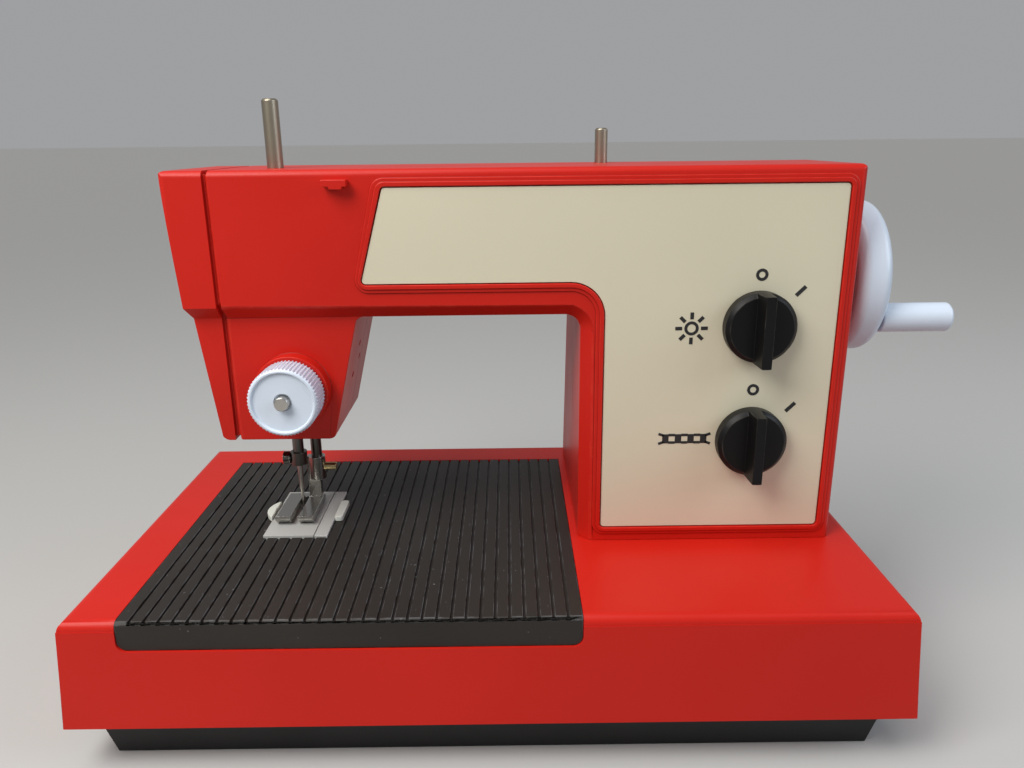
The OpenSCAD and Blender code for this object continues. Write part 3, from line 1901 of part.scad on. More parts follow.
// Fasteners

module housing_screws() {
  head_t = 2;
  color(bright_steel) {
    for (p = housing_screws_at)
      let (seat = back_y(p[1]) - housing_head_depth) {
        y_rod(p[0], split_y - housing_screw_grip + overrun, seat, p[1], housing_screw_r);
        y_rod(p[0], seat, seat + head_t, p[1], housing_head_r);
      }
    for (p = column_screws()) {
      z_rod(p[0], p[1], base_top - wall, base_top + column_screw_l - overrun, column_screw_r);
      z_rod(p[0], p[1], base_top - wall - head_t, base_top - wall, housing_head_r);
    }
  }
}

module tray_screws() {
  head_t = 2.2;
  color(bright_steel)
    for (p = tray_posts()) {
      z_rod(p[0], p[1], tray_head_depth - head_t, tray_head_depth, tray_head_r);
      z_rod(p[0], p[1], tray_head_depth, tray_head_depth + tray_screw_l - overrun, tray_screw_r);
    }
}

bottom_tray();
base_shell();
work_plate();
needle_plate();
slide_strip();
plate_clips();
battery_cover();
batteries();
battery_contacts();
hook_frame();
feed_dog();
looper();
lower_shaft();
lower_pulley();
lower_bearing();
drive_belt();
main_shaft();
head_bearing();
wheel_bearing();
crank_disc();
drive_gear();
upper_pulley();
motor();
motor_pinion();
motor_cradle();
arm_front_shell();
arm_rear_shell();
head_cover();
faceplate();
thread_guide();
spool_pin_left();
spool_pin_right();
lamp_switch();
sew_switch();
lamp_knob();
sew_knob();
lamp_holder();
lamp_bulb();
head_frame();
needle_bar();
needle_yoke();
needle_clamp();
clamp_screw();
needle();
presser_bar();
presser_collar();
presser_spring();
presser_foot();
foot_screw();
presser_lifter();
tension_stud();
tension_discs();
tension_spring();
tension_knob();
hand_wheel();
grip_pin();
crank_grip();
housing_screws();
tray_screws();
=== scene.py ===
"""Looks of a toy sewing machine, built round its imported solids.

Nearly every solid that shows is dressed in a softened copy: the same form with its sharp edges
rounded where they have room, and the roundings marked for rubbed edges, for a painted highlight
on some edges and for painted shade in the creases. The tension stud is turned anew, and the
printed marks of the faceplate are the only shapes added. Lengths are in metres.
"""

import json
import logging
import math
from collections.abc import Callable
from dataclasses import dataclass, field, replace
from enum import Enum

import bmesh
import bpy
from mathutils import Matrix, Vector

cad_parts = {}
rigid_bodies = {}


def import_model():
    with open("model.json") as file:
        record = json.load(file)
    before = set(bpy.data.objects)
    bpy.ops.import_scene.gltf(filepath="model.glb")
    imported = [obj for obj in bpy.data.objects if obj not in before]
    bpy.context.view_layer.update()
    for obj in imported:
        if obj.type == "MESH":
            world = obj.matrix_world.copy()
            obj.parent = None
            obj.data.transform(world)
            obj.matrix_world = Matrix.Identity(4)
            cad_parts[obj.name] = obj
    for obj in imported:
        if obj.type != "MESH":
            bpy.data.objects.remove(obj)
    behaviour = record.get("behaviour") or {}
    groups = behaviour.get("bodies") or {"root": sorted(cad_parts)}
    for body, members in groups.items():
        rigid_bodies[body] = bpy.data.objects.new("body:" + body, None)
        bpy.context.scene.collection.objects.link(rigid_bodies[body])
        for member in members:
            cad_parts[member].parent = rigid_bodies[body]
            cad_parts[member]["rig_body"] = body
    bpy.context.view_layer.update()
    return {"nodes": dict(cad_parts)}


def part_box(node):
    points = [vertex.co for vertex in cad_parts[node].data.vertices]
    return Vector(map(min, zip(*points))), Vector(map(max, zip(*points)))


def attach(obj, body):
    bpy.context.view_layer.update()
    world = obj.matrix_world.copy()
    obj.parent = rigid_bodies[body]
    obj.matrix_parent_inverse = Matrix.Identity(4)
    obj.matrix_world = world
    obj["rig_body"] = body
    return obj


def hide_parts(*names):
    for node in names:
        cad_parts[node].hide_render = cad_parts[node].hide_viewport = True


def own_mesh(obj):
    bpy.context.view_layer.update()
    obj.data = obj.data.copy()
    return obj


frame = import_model()

log = logging.getLogger("sewing_machine")

Color = tuple[float, float, float]
Place = tuple[float, float, float]
Span = tuple[float, float]

MM = 0.001
QUARTER_TURN = math.pi / 2
UNIT: Span = (0.0, 1.0)
# Face mark of the roundings: one on edges, for rubbing and painted highlight; minus one in
# creases, for painted shade.
EDGE_MASK = "edge_mask"

# Sockets of a Mix node that mixes colours.
MIX_SHARE, MIX_FIRST, MIX_SECOND, MIX_RESULT = 0, 6, 7, 2

# How a softened copy is joined and rounded.
MERGE_WITHIN = 0.002 * MM  # closer points are one
FLAT_WITHIN = math.radians(0.4)  # faces that bend less are joined
LEAST_EDGE = 0.0005 * MM  # shorter edges are taken out after the rounding
LONG_EDGE = 8.0 * MM  # only longer edges take the broad rounding
WIDE_FACE = 3.2 * MM  # least mean width of the faces beside such an edge
BROAD_STEPS = 5  # facets across the broad rounding
CREASE_SHARE = 0.5  # a crease's rounding, as a share of an edge's
CREASE_STEPS = 1  # facets across it
ROOM_SHARE = 1.1  # least length of a neighbour, as a share of the rounding's width
ROOM_ROUNDS = 4  # how often the neighbours are looked at
NORMAL_WEIGHT = 100  # weight of a face's area in the even normals


class Bend(Enum):
    """Which way two faces bend at an edge, and the mark that its rounding gets."""

    EDGE = 1.0
    CREASE = -1.0


class Grain(Enum):
    """How a surface's fine relief runs, as the scale of its pattern along each axis."""

    EVEN = (1.0, 1.0, 1.0)
    MOULDED_RIBS = (1.0, 0.12, 1.0)
    BRUSHED_PLATE = (1.0, 0.1, 1.0)
    RUBBED_FOOT = (1.0, 0.15, 1.0)
    DRAWN_BAR = (1.0, 1.0, 0.15)


@dataclass(frozen=True)
class Finish:
    """One finish: its colours, gloss and grain, rubbed edges and specks, painted highlight and
    shade.

    Attributes:
        name: The material's name.
        slot: The record's material slot; not used.
        color: Main colour, linear.
        shade: Second colour, for soft cloudy variation.
        roughness: Least and most roughness.
        grain: How the fine relief runs.
        grain_scale: Fineness of the relief, per metre.
        grain_depth: Height of the relief.
        metallic: One for bare metal.
        worn: Colour of the lighter rounded edges and of the specks.
        wear_and_highlight: Share of that colour on rounded edges: rubbing, and on the red plastic
            and the work plate a painted highlight.
        dust: Share of pale specks.
        crease_shade: Share of painted shade in the creases, a darker copy of the main colour.
        specular: Strength of the mirror-like share.
    """

    name: str
    slot: str
    color: Color
    shade: Color
    roughness: Span
    grain: Grain = Grain.EVEN
    grain_scale: float = 900.0
    grain_depth: float = 0.02 * MM
    metallic: float = 0.0
    worn: Color = (0.8, 0.8, 0.8)
    wear_and_highlight: float = 0.0
    dust: float = 0.0
    crease_shade: float = 0.0
    specular: float = 0.5

    def material(self) -> bpy.types.Material:
        """Build the finish as a node material.

        Returns:
            The material, made once and then shared.
        """
        made = bpy.data.materials.get(self.name)
        if made is not None:
            return made
        made = bpy.data.materials.new(self.name)
        made.use_nodes = True
        FinishNodes(made, self).wire()
        return made


class FinishNodes:
    """Lays out the nodes of one finish, with patterns and shares that all finishes have."""

    noise_roughness = 0.6
    cloud_scale = 14.0
    cloud_detail = 1.0
    cloud_span: Span = (0.2, 0.8)
    gloss_scale = 42.0
    gloss_span: Span = (0.1, 0.9)
    edge_patch_scale = 180.0
    edge_patch_detail = 3.0
    edge_patch_span: Span = (0.38, 0.66)
    dust_scale = 650.0
    dust_span: Span = (0.76, 0.80)
    crease_span: Span = (Bend.CREASE.value, 0.0)
    # How dark the painted shade in the creases is, as a share of the main colour.
    crease_shade_factor = 0.22
    relief_detail = 2.0
    relief_strength = 0.6

    def __init__(self, made: bpy.types.Material, finish: Finish) -> None:
        """Keep the node tree and its shader at hand.

        Args:
            made: The material to fill.
            finish: The finish to follow.
        """
        self.tree = made.node_tree
        self.finish = finish
        self.shader = self.tree.nodes["Principled BSDF"]
        self.coords = self.node("ShaderNodeTexCoord").outputs["Object"]

    def node(self, kind: str, **inputs: float | tuple) -> bpy.types.Node:
        """Add a node and set its sockets.

        Args:
            kind: Blender's name of the node type.
            inputs: Socket names, with _ for a space, and their values.

        Returns:
            The new node.
        """
        new = self.tree.nodes.new(kind)
        for name, value in inputs.items():
            new.inputs[name.replace("_", " ")].default_value = value
        return new

    def link(self, source: bpy.types.NodeSocket, target: bpy.types.NodeSocket) -> None:
        """Join two sockets."""
        self.tree.links.new(source, target)

    def noise(
        self, scale: float, detail: float, grain: Grain = Grain.EVEN
    ) -> bpy.types.NodeSocket:
        """Add a noise texture on object coordinates.

        Args:
            scale: Fineness, per metre.
            detail: Number of finer layers.
            grain: How the pattern runs.

        Returns:
            The noise value's socket.
        """
        mapping = self.node("ShaderNodeMapping", Scale=grain.value)
        self.link(self.coords, mapping.inputs["Vector"])
        texture = self.node(
            "ShaderNodeTexNoise", Scale=scale, Detail=detail, Roughness=self.noise_roughness
        )
        self.link(mapping.outputs["Vector"], texture.inputs["Vector"])
        return texture.outputs["Fac"]

    def remap(
        self, value: bpy.types.NodeSocket, source: Span, target: Span
    ) -> bpy.types.NodeSocket:
        """Map a value from one range to another, clamped.

        Args:
            value: The socket to map.
            source: Range of the value.
            target: Range of the result.

        Returns:
            The mapped value's socket.
        """
        new = self.node("ShaderNodeMapRange")
        new.interpolation_type = "SMOOTHSTEP"
        names = ("From Min", "From Max", "To Min", "To Max")
        for name, number in zip(names, (*source, *target)):
            new.inputs[name].default_value = number
        self.link(value, new.inputs["Value"])
        return new.outputs["Result"]

    def times(
        self, first: bpy.types.NodeSocket, second: bpy.types.NodeSocket
    ) -> bpy.types.NodeSocket:
        """Multiply two values.

        Args:
            first: Socket of one value.
            second: Socket of the other.

        Returns:
            The product's socket.
        """
        new = self.node("ShaderNodeMath")
        new.operation = "MULTIPLY"
        self.link(first, new.inputs[0])
        self.link(second, new.inputs[1])
        return new.outputs[0]

    def mix(
        self, share: bpy.types.NodeSocket, first: Color | bpy.types.NodeSocket, second: Color
    ) -> bpy.types.NodeSocket:
        """Mix two colours by a share.

        Args:
            share: Socket of the second colour's share.
            first: A colour, or a colour socket.
            second: A colour.

        Returns:
            The mixed colour's socket.
        """
        new = self.tree.nodes.new("ShaderNodeMix")
        new.data_type = "RGBA"
        self.link(share, new.inputs[MIX_SHARE])
        if isinstance(first, tuple):
            new.inputs[MIX_FIRST].default_value = (*first, 1.0)
        else:
            self.link(first, new.inputs[MIX_FIRST])
        new.inputs[MIX_SECOND].default_value = (*second, 1.0)
        return new.outputs[MIX_RESULT]

    def edge_mask(self) -> bpy.types.NodeSocket:
        """Read the mark of the rounding.

        Returns:
            A socket that is one on edges and minus one in creases.
        """
        mask = self.tree.nodes.new("ShaderNodeAttribute")
        mask.attribute_name = EDGE_MASK
        return mask.outputs["Fac"]

    def wear_and_highlight_share(self) -> bpy.types.NodeSocket:
        """Break the edges' mark up by noise.

        Returns:
            Socket of the lighter edge colour's share: rubbing, and on some finishes a painted
            highlight.
        """
        mask = self.edge_mask()
        patches = self.noise(self.edge_patch_scale, self.edge_patch_detail)
        patchy = self.remap(patches, self.edge_patch_span, (0.0, self.finish.wear_and_highlight))
        return self.times(self.remap(mask, UNIT, UNIT), patchy)

    def color(self) -> bpy.types.NodeSocket:
        """Layer the colours: clouds, lighter edges (partly painted highlight), painted crease
        shade, specks.

        Returns:
            The colour's socket.
        """
        finish = self.finish
        cloud = self.noise(self.cloud_scale, self.cloud_detail)
        color = self.mix(self.remap(cloud, self.cloud_span, UNIT), finish.color, finish.shade)
        # Lighter rounded edges: rubbing, and on the red plastic and the work plate a painted
        # highlight.
        if finish.wear_and_highlight > 0:
            color = self.mix(self.wear_and_highlight_share(), color, finish.worn)
        # Painted shade: the creases take a darker copy of the main colour.
        if finish.crease_shade > 0:
            share = self.remap(self.edge_mask(), self.crease_span, (finish.crease_shade, 0.0))
            red, green, blue = finish.color
            dark = (red * self.crease_shade_factor, green * self.crease_shade_factor, blue * self.crease_shade_factor)
            color = self.mix(share, color, dark)
        if finish.dust > 0:
            specks = self.noise(self.dust_scale, self.cloud_detail)
            share = self.remap(specks, self.dust_span, (0.0, finish.dust))
            color = self.mix(share, color, finish.worn)
        return color

    def wire(self) -> None:
        """Join colour, roughness and relief to the shader."""
        finish = self.finish
        self.link(self.color(), self.shader.inputs["Base Color"])
        height = self.noise(finish.grain_scale, self.relief_detail, finish.grain)
        gloss = self.noise(self.gloss_scale, self.cloud_detail, finish.grain)
        rough = self.remap(gloss, self.gloss_span, finish.roughness)
        self.link(rough, self.shader.inputs["Roughness"])
        bump = self.node(
            "ShaderNodeBump", Strength=self.relief_strength, Distance=finish.grain_depth
        )
        self.link(height, bump.inputs["Height"])
        self.link(bump.outputs["Normal"], self.shader.inputs["Normal"])
        self.shader.inputs["Metallic"].default_value = finish.metallic
        self.shader.inputs["Specular IOR Level"].default_value = finish.specular


# The lighter tone on its edges is a painted highlight, and the darker creases, as round the bead,
# are painted shade.
RED = Finish(
    name="red_gloss_plastic",
    slot="red_plastic",
    color=(0.60, 0.016, 0.008),
    shade=(0.55, 0.014, 0.007),
    roughness=(0.36, 0.44),
    grain_depth=0.004 * MM,
    worn=(0.78, 0.065, 0.035),
    wear_and_highlight=0.2,
    crease_shade=0.6,
    specular=0.25,
)
TRAY_BLACK = Finish(
    name="tray_black_plastic",
    slot="black_plastic",
    color=(0.0045, 0.0045, 0.005),
    shade=(0.007, 0.0065, 0.007),
    roughness=(0.40, 0.54),
    grain_scale=1600.0,
    grain_depth=0.04 * MM,
    worn=(0.06, 0.06, 0.06),
    wear_and_highlight=0.4,
    specular=0.35,
)
# The lighter, bluish tone on its edges is a painted highlight on the rib ends and front lip; its
# pale specks are dust.
PLATE_BLACK = Finish(
    name="plate_charcoal_plastic",
    slot="black_plastic",
    color=(0.017, 0.0145, 0.0125),
    shade=(0.027, 0.022, 0.018),
    roughness=(0.42, 0.58),
    grain=Grain.MOULDED_RIBS,
    grain_scale=1500.0,
    grain_depth=0.05 * MM,
    worn=(0.20, 0.21, 0.23),
    wear_and_highlight=0.35,
    dust=0.6,
    specular=0.3,
)
KNOB_BLACK = Finish(
    name="knob_black_plastic",
    slot="black_knob",
    color=(0.0045, 0.0045, 0.005),
    shade=(0.0065, 0.0065, 0.0065),
    roughness=(0.32, 0.44),
    worn=(0.07, 0.065, 0.055),
    wear_and_highlight=0.5,
    specular=0.2,
)
CREAM = Finish(
    name="cream_faceplate",
    slot="cream_plastic",
    color=(0.71, 0.665, 0.50),
    shade=(0.67, 0.625, 0.47),
    roughness=(0.40, 0.52),
    grain_scale=1400.0,
    grain_depth=0.04 * MM,
    worn=(0.82, 0.78, 0.62),
    wear_and_highlight=0.5,
)
# A white plastic with a little blue of its own, and more blue painted in for the cool light from
# the right.
COOL_LIT_WHITE = Finish(
    name="white_gloss_plastic",
    slot="white_plastic",
    color=(0.70, 0.78, 0.89),
    shade=(0.67, 0.755, 0.875),
    roughness=(0.26, 0.38),
    worn=(0.82, 0.84, 0.86),
    wear_and_highlight=0.3,
)
CLIP_WHITE = Finish(
    name="clip_ivory_plastic",
    slot="white_plastic",
    color=(0.70, 0.72, 0.64),
    shade=(0.74, 0.77, 0.78),
    roughness=(0.30, 0.42),
    worn=(0.85, 0.83, 0.64),
    wear_and_highlight=0.3,
)
PALE_PLATE = Finish(
    name="needle_plate_metal",
    slot="pale_metal",
    color=(0.42, 0.42, 0.40),
    shade=(0.50, 0.50, 0.48),
    roughness=(0.34, 0.46),
    grain=Grain.BRUSHED_PLATE,
    grain_scale=1200.0,
    worn=(0.78, 0.78, 0.78),
    wear_and_highlight=0.8,
)
STEEL = Finish(
    name="worn_steel",
    slot="bright_steel",
    color=(0.42, 0.40, 0.36),
    shade=(0.52, 0.50, 0.47),
    roughness=(0.26, 0.42),
    grain=Grain.DRAWN_BAR,
    grain_scale=1400.0,
    metallic=1.0,
    worn=(0.72, 0.70, 0.67),
    wear_and_highlight=0.6,
)
PIN_STEEL = replace(
    STEEL,
    name="worn_pin_steel",
    color=(0.34, 0.30, 0.23),
    shade=(0.44, 0.39, 0.30),
    worn=(0.66, 0.62, 0.54),
)
DARK_STEEL = replace(
    STEEL,
    name="worn_dark_steel",
    slot="dark_steel",
    color=(0.11, 0.103, 0.094),
    shade=(0.16, 0.148, 0.132),
    roughness=(0.22, 0.34),
    worn=(0.62, 0.60, 0.57),
    wear_and_highlight=0.8,
)
FOOT_STEEL = replace(
    STEEL,
    name="foot_steel",
    slot="dark_steel",
    color=(0.33, 0.32, 0.30),
    shade=(0.42, 0.40, 0.37),
    roughness=(0.18, 0.30),
    grain=Grain.RUBBED_FOOT,
    worn=(0.82, 0.82, 0.80),
    wear_and_highlight=0.9,
)
BRASS = Finish(
    name="worn_brass",
    slot="brass",
    color=(0.42, 0.34, 0.17),
    shade=(0.36, 0.30, 0.17),
    roughness=(0.30, 0.44),
    grain_scale=1400.0,
    metallic=1.0,
    worn=(0.60, 0.52, 0.32),
    wear_and_highlight=0.6,
)
CELL = Finish(
    name="cell_jacket",
    slot="cell_jacket",
    color=(0.24, 0.15, 0.05),
    shade=(0.30, 0.20, 0.07),
    roughness=(0.3, 0.4),
)
LAMP = Finish(
    name="lamp_glass",
    slot="lamp_glass",
    color=(0.90, 0.86, 0.70),
    shade=(0.86, 0.82, 0.66),
    roughness=(0.05, 0.10),
    grain_depth=0.005 * MM,
)
INK = Finish(
    name="black_ink",
    slot="black_plastic",
    color=(0.010, 0.010, 0.011),
    shade=(0.018, 0.018, 0.018),
    roughness=(0.5, 0.65),
    grain_scale=2600.0,
    grain_depth=0.03 * MM,
)


def to_object(work: bmesh.types.BMesh, name: str) -> bpy.types.Object:
    """Turn a finished bmesh into an object of the scene.

    Args:
        work: The bmesh, which is freed.
        name: The name of the object and of its mesh.

    Returns:
        The new object, at the origin.
    """
    mesh = bpy.data.meshes.new(name)
    work.to_mesh(mesh)
    work.free()
    piece = bpy.data.objects.new(name, mesh)
    bpy.context.scene.collection.objects.link(piece)
    return piece


def bevel(
    work: bmesh.types.BMesh, edges: list[bmesh.types.BMEdge], width: float, segments: int,
    fitted: bool = False, slide: bool = False,
) -> list[bmesh.types.BMFace]:
    """Round some edges of a bmesh.

    Args:
        work: The bmesh.
        edges: The edges to round.
        width: Width of the rounding.
        segments: Facets across it.
        fitted: Narrows the rounding where it would run into a neighbour.
        slide: Slides the rounding's ends along the edges beside it.

    Returns:
        The new faces.
    """
    made = bmesh.ops.bevel(
        work, geom=edges, offset=width, offset_type="OFFSET", affect="EDGES", segments=segments,
        profile=0.5, material=-1, clamp_overlap=fitted, loop_slide=slide,
    )
    return made["faces"]


@dataclass(frozen=True)
class Dress:
    """How one solid is dressed.

    Attributes:
        node: The solid's name.
        finish: Its finish.
        round_by: Width of the rounding on its sharp edges; zero keeps the plain solid.
        segments: Facets across the rounding.
        sharp: Edges that bend more than this, in degrees, are rounded.
        reshape: Moves points of the joined copy before its edges are rounded.
        broad: Width of the rounding on its long outer edges, made before the rest.
        spare: Leaves edges with short neighbours sharp, so that the rest keep their width.
    """

    node: str
    finish: Finish
    round_by: float = 0.0
    segments: int = 2
    sharp: float = 28.0
    reshape: Callable[[bmesh.types.BMesh], None] | None = None
    broad: float = 0.0
    spare: bool = False

    @property
    def limit(self) -> float:
        """Return the bend from which an edge is sharp, in radians."""
        return math.radians(self.sharp)

    @property
    def choosy(self) -> bool:
        """Tell whether edges without room are left sharp."""
        return self.spare or self.broad > 0

    def apply(self) -> bpy.types.Object:
        """Dress the solid, as it is or as a softened copy.

        Returns:
            The object that shows.
        """
        solid = frame["nodes"][self.node]
        if self.round_by <= 0:
            self.paint(solid)
            return solid
        piece = self.softened(solid)
        self.paint(piece)
        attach(piece, solid["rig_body"])
        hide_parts(self.node)
        return piece

    def paint(self, piece: bpy.types.Object) -> None:
        """Give a piece this finish in every material slot.

        Args:
            piece: The solid, or its softened copy.
        """
        if not piece.material_slots:
            piece.data.materials.append(self.finish.material())
        for place in piece.material_slots:
            place.material = self.finish.material()

    def bent_edges(self, work: bmesh.types.BMesh, bend: Bend) -> list[bmesh.types.BMEdge]:
        """Find the sharp edges of a mesh.

        Args:
            work: The mesh.
            bend: Which way they bend.

        Returns:
            The edges that bend more than the limit that way.
        """
        pairs = (e for e in work.edges if len(e.link_faces) == 2)
        return [e for e in pairs if bend.value * e.calc_face_angle_signed(0.0) > self.limit]

    def long_edges(self, work: bmesh.types.BMesh) -> list[bmesh.types.BMEdge]:
        """Find the long outer edges between two wide faces.

        Args:
            work: The mesh.

        Returns:
            The edges that take the broad rounding.
        """
        chosen = []
        for edge in self.bent_edges(work, Bend.EDGE):
            length = edge.calc_length()
            least_area = min(face.calc_area() for face in edge.link_faces)
            if length > LONG_EDGE and least_area > length * WIDE_FACE:
                chosen.append(edge)
        return chosen

    def roomy(self, edges: list[bmesh.types.BMEdge], width: float) -> list[bmesh.types.BMEdge]:
        """Keep the edges whose neighbours leave room for a rounding.

        Args:
            edges: The edges to choose from.
            width: Width of the rounding.

        Returns:
            The edges with no short edge beside them.
        """
        kept = set(edges)
        for _ in range(ROOM_ROUNDS):
            kept -= {
                edge for edge in kept
                if any(
                    beside not in kept and beside.calc_length() < width * ROOM_SHARE
                    for vert in edge.verts for beside in vert.link_edges
                )
            }
        return [edge for edge in edges if edge in kept]

    def round_off(
        self, work: bmesh.types.BMesh, edges: list[bmesh.types.BMEdge], width: float, segments: int
    ) -> None:
        """Round some edges and mark the new faces by the way they bend.

        Args:
            work: The mesh.
            edges: The edges to round.
            width: Width of the rounding.
            segments: Facets across it.
        """
        chosen = self.roomy(edges, width) if self.choosy else edges
        faces = bevel(work, chosen, width, segments, fitted=self.broad <= 0, slide=True)
        mask = work.faces.layers.float[EDGE_MASK]
        work.normal_update()
        for face in faces:
            angle = sum(edge.calc_face_angle_signed(0.0) for edge in face.edges)
            face[mask] = (Bend.EDGE if angle >= 0.0 else Bend.CREASE).value

    def soften(self, work: bmesh.types.BMesh) -> None:
        """Round the sharp edges of a joined copy.

        Args:
            work: The joined copy.
        """
        work.faces.layers.float.new(EDGE_MASK)
        if self.broad > 0:
            self.round_off(work, self.long_edges(work), self.broad, BROAD_STEPS)
            edges = self.bent_edges(work, Bend.EDGE)
            self.round_off(work, edges, self.round_by, self.segments)
            creases = self.bent_edges(work, Bend.CREASE)
            self.round_off(work, creases, self.round_by * CREASE_SHARE, CREASE_STEPS)
        else:
            both = self.bent_edges(work, Bend.EDGE) + self.bent_edges(work, Bend.CREASE)
            self.round_off(work, both, self.round_by, self.segments)
        if self.choosy:
            bmesh.ops.dissolve_degenerate(work, dist=LEAST_EDGE, edges=work.edges)

    def softened(self, solid: bpy.types.Object) -> bpy.types.Object:
        """Copy a solid, join its triangles and round its sharp edges.

        Args:
            solid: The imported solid.

        Returns:
            The new object, with its rounded edges and creases marked in a face attribute.
        """
        work = bmesh.new()
        work.from_mesh(solid.data)
        bmesh.ops.remove_doubles(work, verts=work.verts, dist=MERGE_WITHIN)
        bmesh.ops.dissolve_limit(
            work, angle_limit=FLAT_WITHIN, use_dissolve_boundaries=False,
            verts=work.verts, edges=work.edges,
        )
        if self.reshape is not None:
            self.reshape(work)
        self.soften(work)
        for face in work.faces:
            face.smooth = True
        piece = to_object(work, f"{self.node}_look")
        piece.data.set_sharp_from_angle(angle=self.limit)
        even = piece.modifiers.new("even_normals", "WEIGHTED_NORMAL")
        even.keep_sharp = True
        even.weight = NORMAL_WEIGHT
        return piece


@dataclass
class SubAssembly:
    """A group of solids that are dressed together.

    Attributes:
        fine: Facets across a rounding that is seen close by.
    """

    fine: int = 3

    def report(self, piece: bpy.types.Object, finish: Finish) -> None:
        """Log one dressed piece."""
        log.info("%s: %s in %s", type(self).__name__, piece.name, finish.name)

    def put(self, look: Dress) -> bpy.types.Object:
        """Dress one solid and report it.

        Args:
            look: How the solid is dressed.

        Returns:
            The object that shows.
        """
        piece = look.apply()
        self.report(piece, look.finish)
        return piece

    def dress(self, node: str, finish: Finish, round_by: float = 0.0, segments: int = 2) -> None:
        """Dress one solid in the usual way.

        Args:
            node: The solid's name.
            finish: Its finish.
            round_by: Width of the rounding on its sharp edges; zero keeps the plain solid.
            segments: Facets across the rounding.
        """
        self.put(Dress(node, finish, round_by, segments))

    def build(self) -> None:
        """Dress every solid of the group."""
        raise NotImplementedError


@dataclass
class Base(SubAssembly):
    """The red base on its dark tray, with the battery cover and the tray's screws.

    Attributes:
        shell_round: Rounding of the base's edges.
        tray_round: Rounding of the tray's edges.
        small_round: Rounding of the cover and the screws.
        flare: How far the base's walls lean out from top to foot.
        plan_r: Radius of the solid's upright corners at the foot.
        corner_r: Radius that these corners get from top to foot.
        near: How close to such a corner a point counts as on it.
        least_span: Least turn over which a corner's points are spread.
    """

    shell_round: float = 0.7 * MM
    tray_round: float = 0.6 * MM
    small_round: float = 0.2 * MM
    flare: float = 2.3 * MM
    plan_r: float = 3.6 * MM
    corner_r: float = 0.3 * MM
    near: float = 0.03 * MM
    least_span: float = math.radians(2)

    def even_corners(self, work: bmesh.types.BMesh) -> None:
        """Give the base's upright corners one small radius from top to foot.

        Args:
            work: The joined copy of the base's solid.
        """
        low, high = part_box("base_shell")
        hub = (high.x - self.plan_r, high.y - self.plan_r)
        for vert in work.verts:
            out = Vector((abs(vert.co.x) - hub[0], abs(vert.co.y) - hub[1]))
            if min(out) < -self.near or abs(out.length - self.plan_r) > self.near:
                continue
            back = self.flare * (vert.co.z - low.z) / (high.z - low.z)
            reach = math.acos(min(1.0, (self.plan_r - back) / self.plan_r))
            turn = math.atan2(out.x, out.y)
            span = QUARTER_TURN - 2 * reach
            share = (turn - reach) / span if span > self.least_span else 0.5
            angle = QUARTER_TURN * min(1.0, max(0.0, share))
            x = high.x - back - self.corner_r * (1 - math.sin(angle))
            y = high.y - back - self.corner_r * (1 - math.cos(angle))
            vert.co.x = math.copysign(x, vert.co.x)
            vert.co.y = math.copysign(y, vert.co.y)

    def build(self) -> None:
        """Dress the base."""
        self.put(Dress(
            "base_shell", RED, self.shell_round, self.fine, reshape=self.even_corners, spare=True,
        ))
        self.dress("bottom_tray", TRAY_BLACK, self.tray_round)
        self.dress("battery_cover", TRAY_BLACK, self.small_round)
        self.dress("tray_screws", STEEL, self.small_round)


@dataclass
class WorkTable(SubAssembly):
    """The ribbed work plate with its needle plate, strip, clips and feed dog."""

    rib_round: float = 0.22 * MM
    plate_round: float = 0.25 * MM
    clip_round: float = 0.4 * MM
    tooth_round: float = 0.08 * MM

    def build(self) -> None:
        """Dress the work table."""
        self.dress("work_plate", PLATE_BLACK, self.rib_round)
        self.dress("needle_plate", PALE_PLATE, self.plate_round)
        self.dress("slide_strip", PALE_PLATE, self.plate_round)
        self.dress("plate_clips", CLIP_WHITE, self.clip_round, self.fine)
        self.dress("feed_dog", STEEL, self.tooth_round)


@dataclass
class Arm(SubAssembly):
    """The moulded arm: shells, head cover, faceplate, thread guide, pins and screws.

    Attributes:
        broad_round: Rounding of the front shell's long outer edges.
        bead_round: Rounding of its other edges, such as those of the bead.
        shell_round: Widest rounding of the other red pieces' edges.
        plate_round: Rounding of the faceplate.
        guide_round: Rounding of the thread guide.
        pin_round: Rounding of the pins and the screws.
    """

    broad_round: float = 0.9 * MM
    bead_round: float = 0.3 * MM
    shell_round: float = 0.5 * MM
    plate_round: float = 0.25 * MM
    guide_round: float = 0.3 * MM
    pin_round: float = 0.15 * MM

    def build(self) -> None:
        """Dress the arm."""
        self.put(Dress(
            "arm_front_shell", RED, self.bead_round, self.fine, broad=self.broad_round,
        ))
        for shell in ("arm_rear_shell", "head_cover"):
            self.dress(shell, RED, self.shell_round, self.fine)
        self.dress("faceplate", CREAM, self.plate_round)
        self.dress("thread_guide", RED, self.guide_round)
        for pin in ("spool_pin_left", "spool_pin_right"):
            self.dress(pin, PIN_STEEL, self.pin_round)
        self.dress("housing_screws", STEEL, self.pin_round)


@dataclass
class Dials(SubAssembly):
    """The two turning knobs of the faceplate."""

    knob_round: float = 0.35 * MM

    def build(self) -> None:
        """Dress both knobs."""
        for knob in ("lamp_knob", "sew_knob"):
            self.dress(knob, KNOB_BLACK, self.knob_round, self.fine)


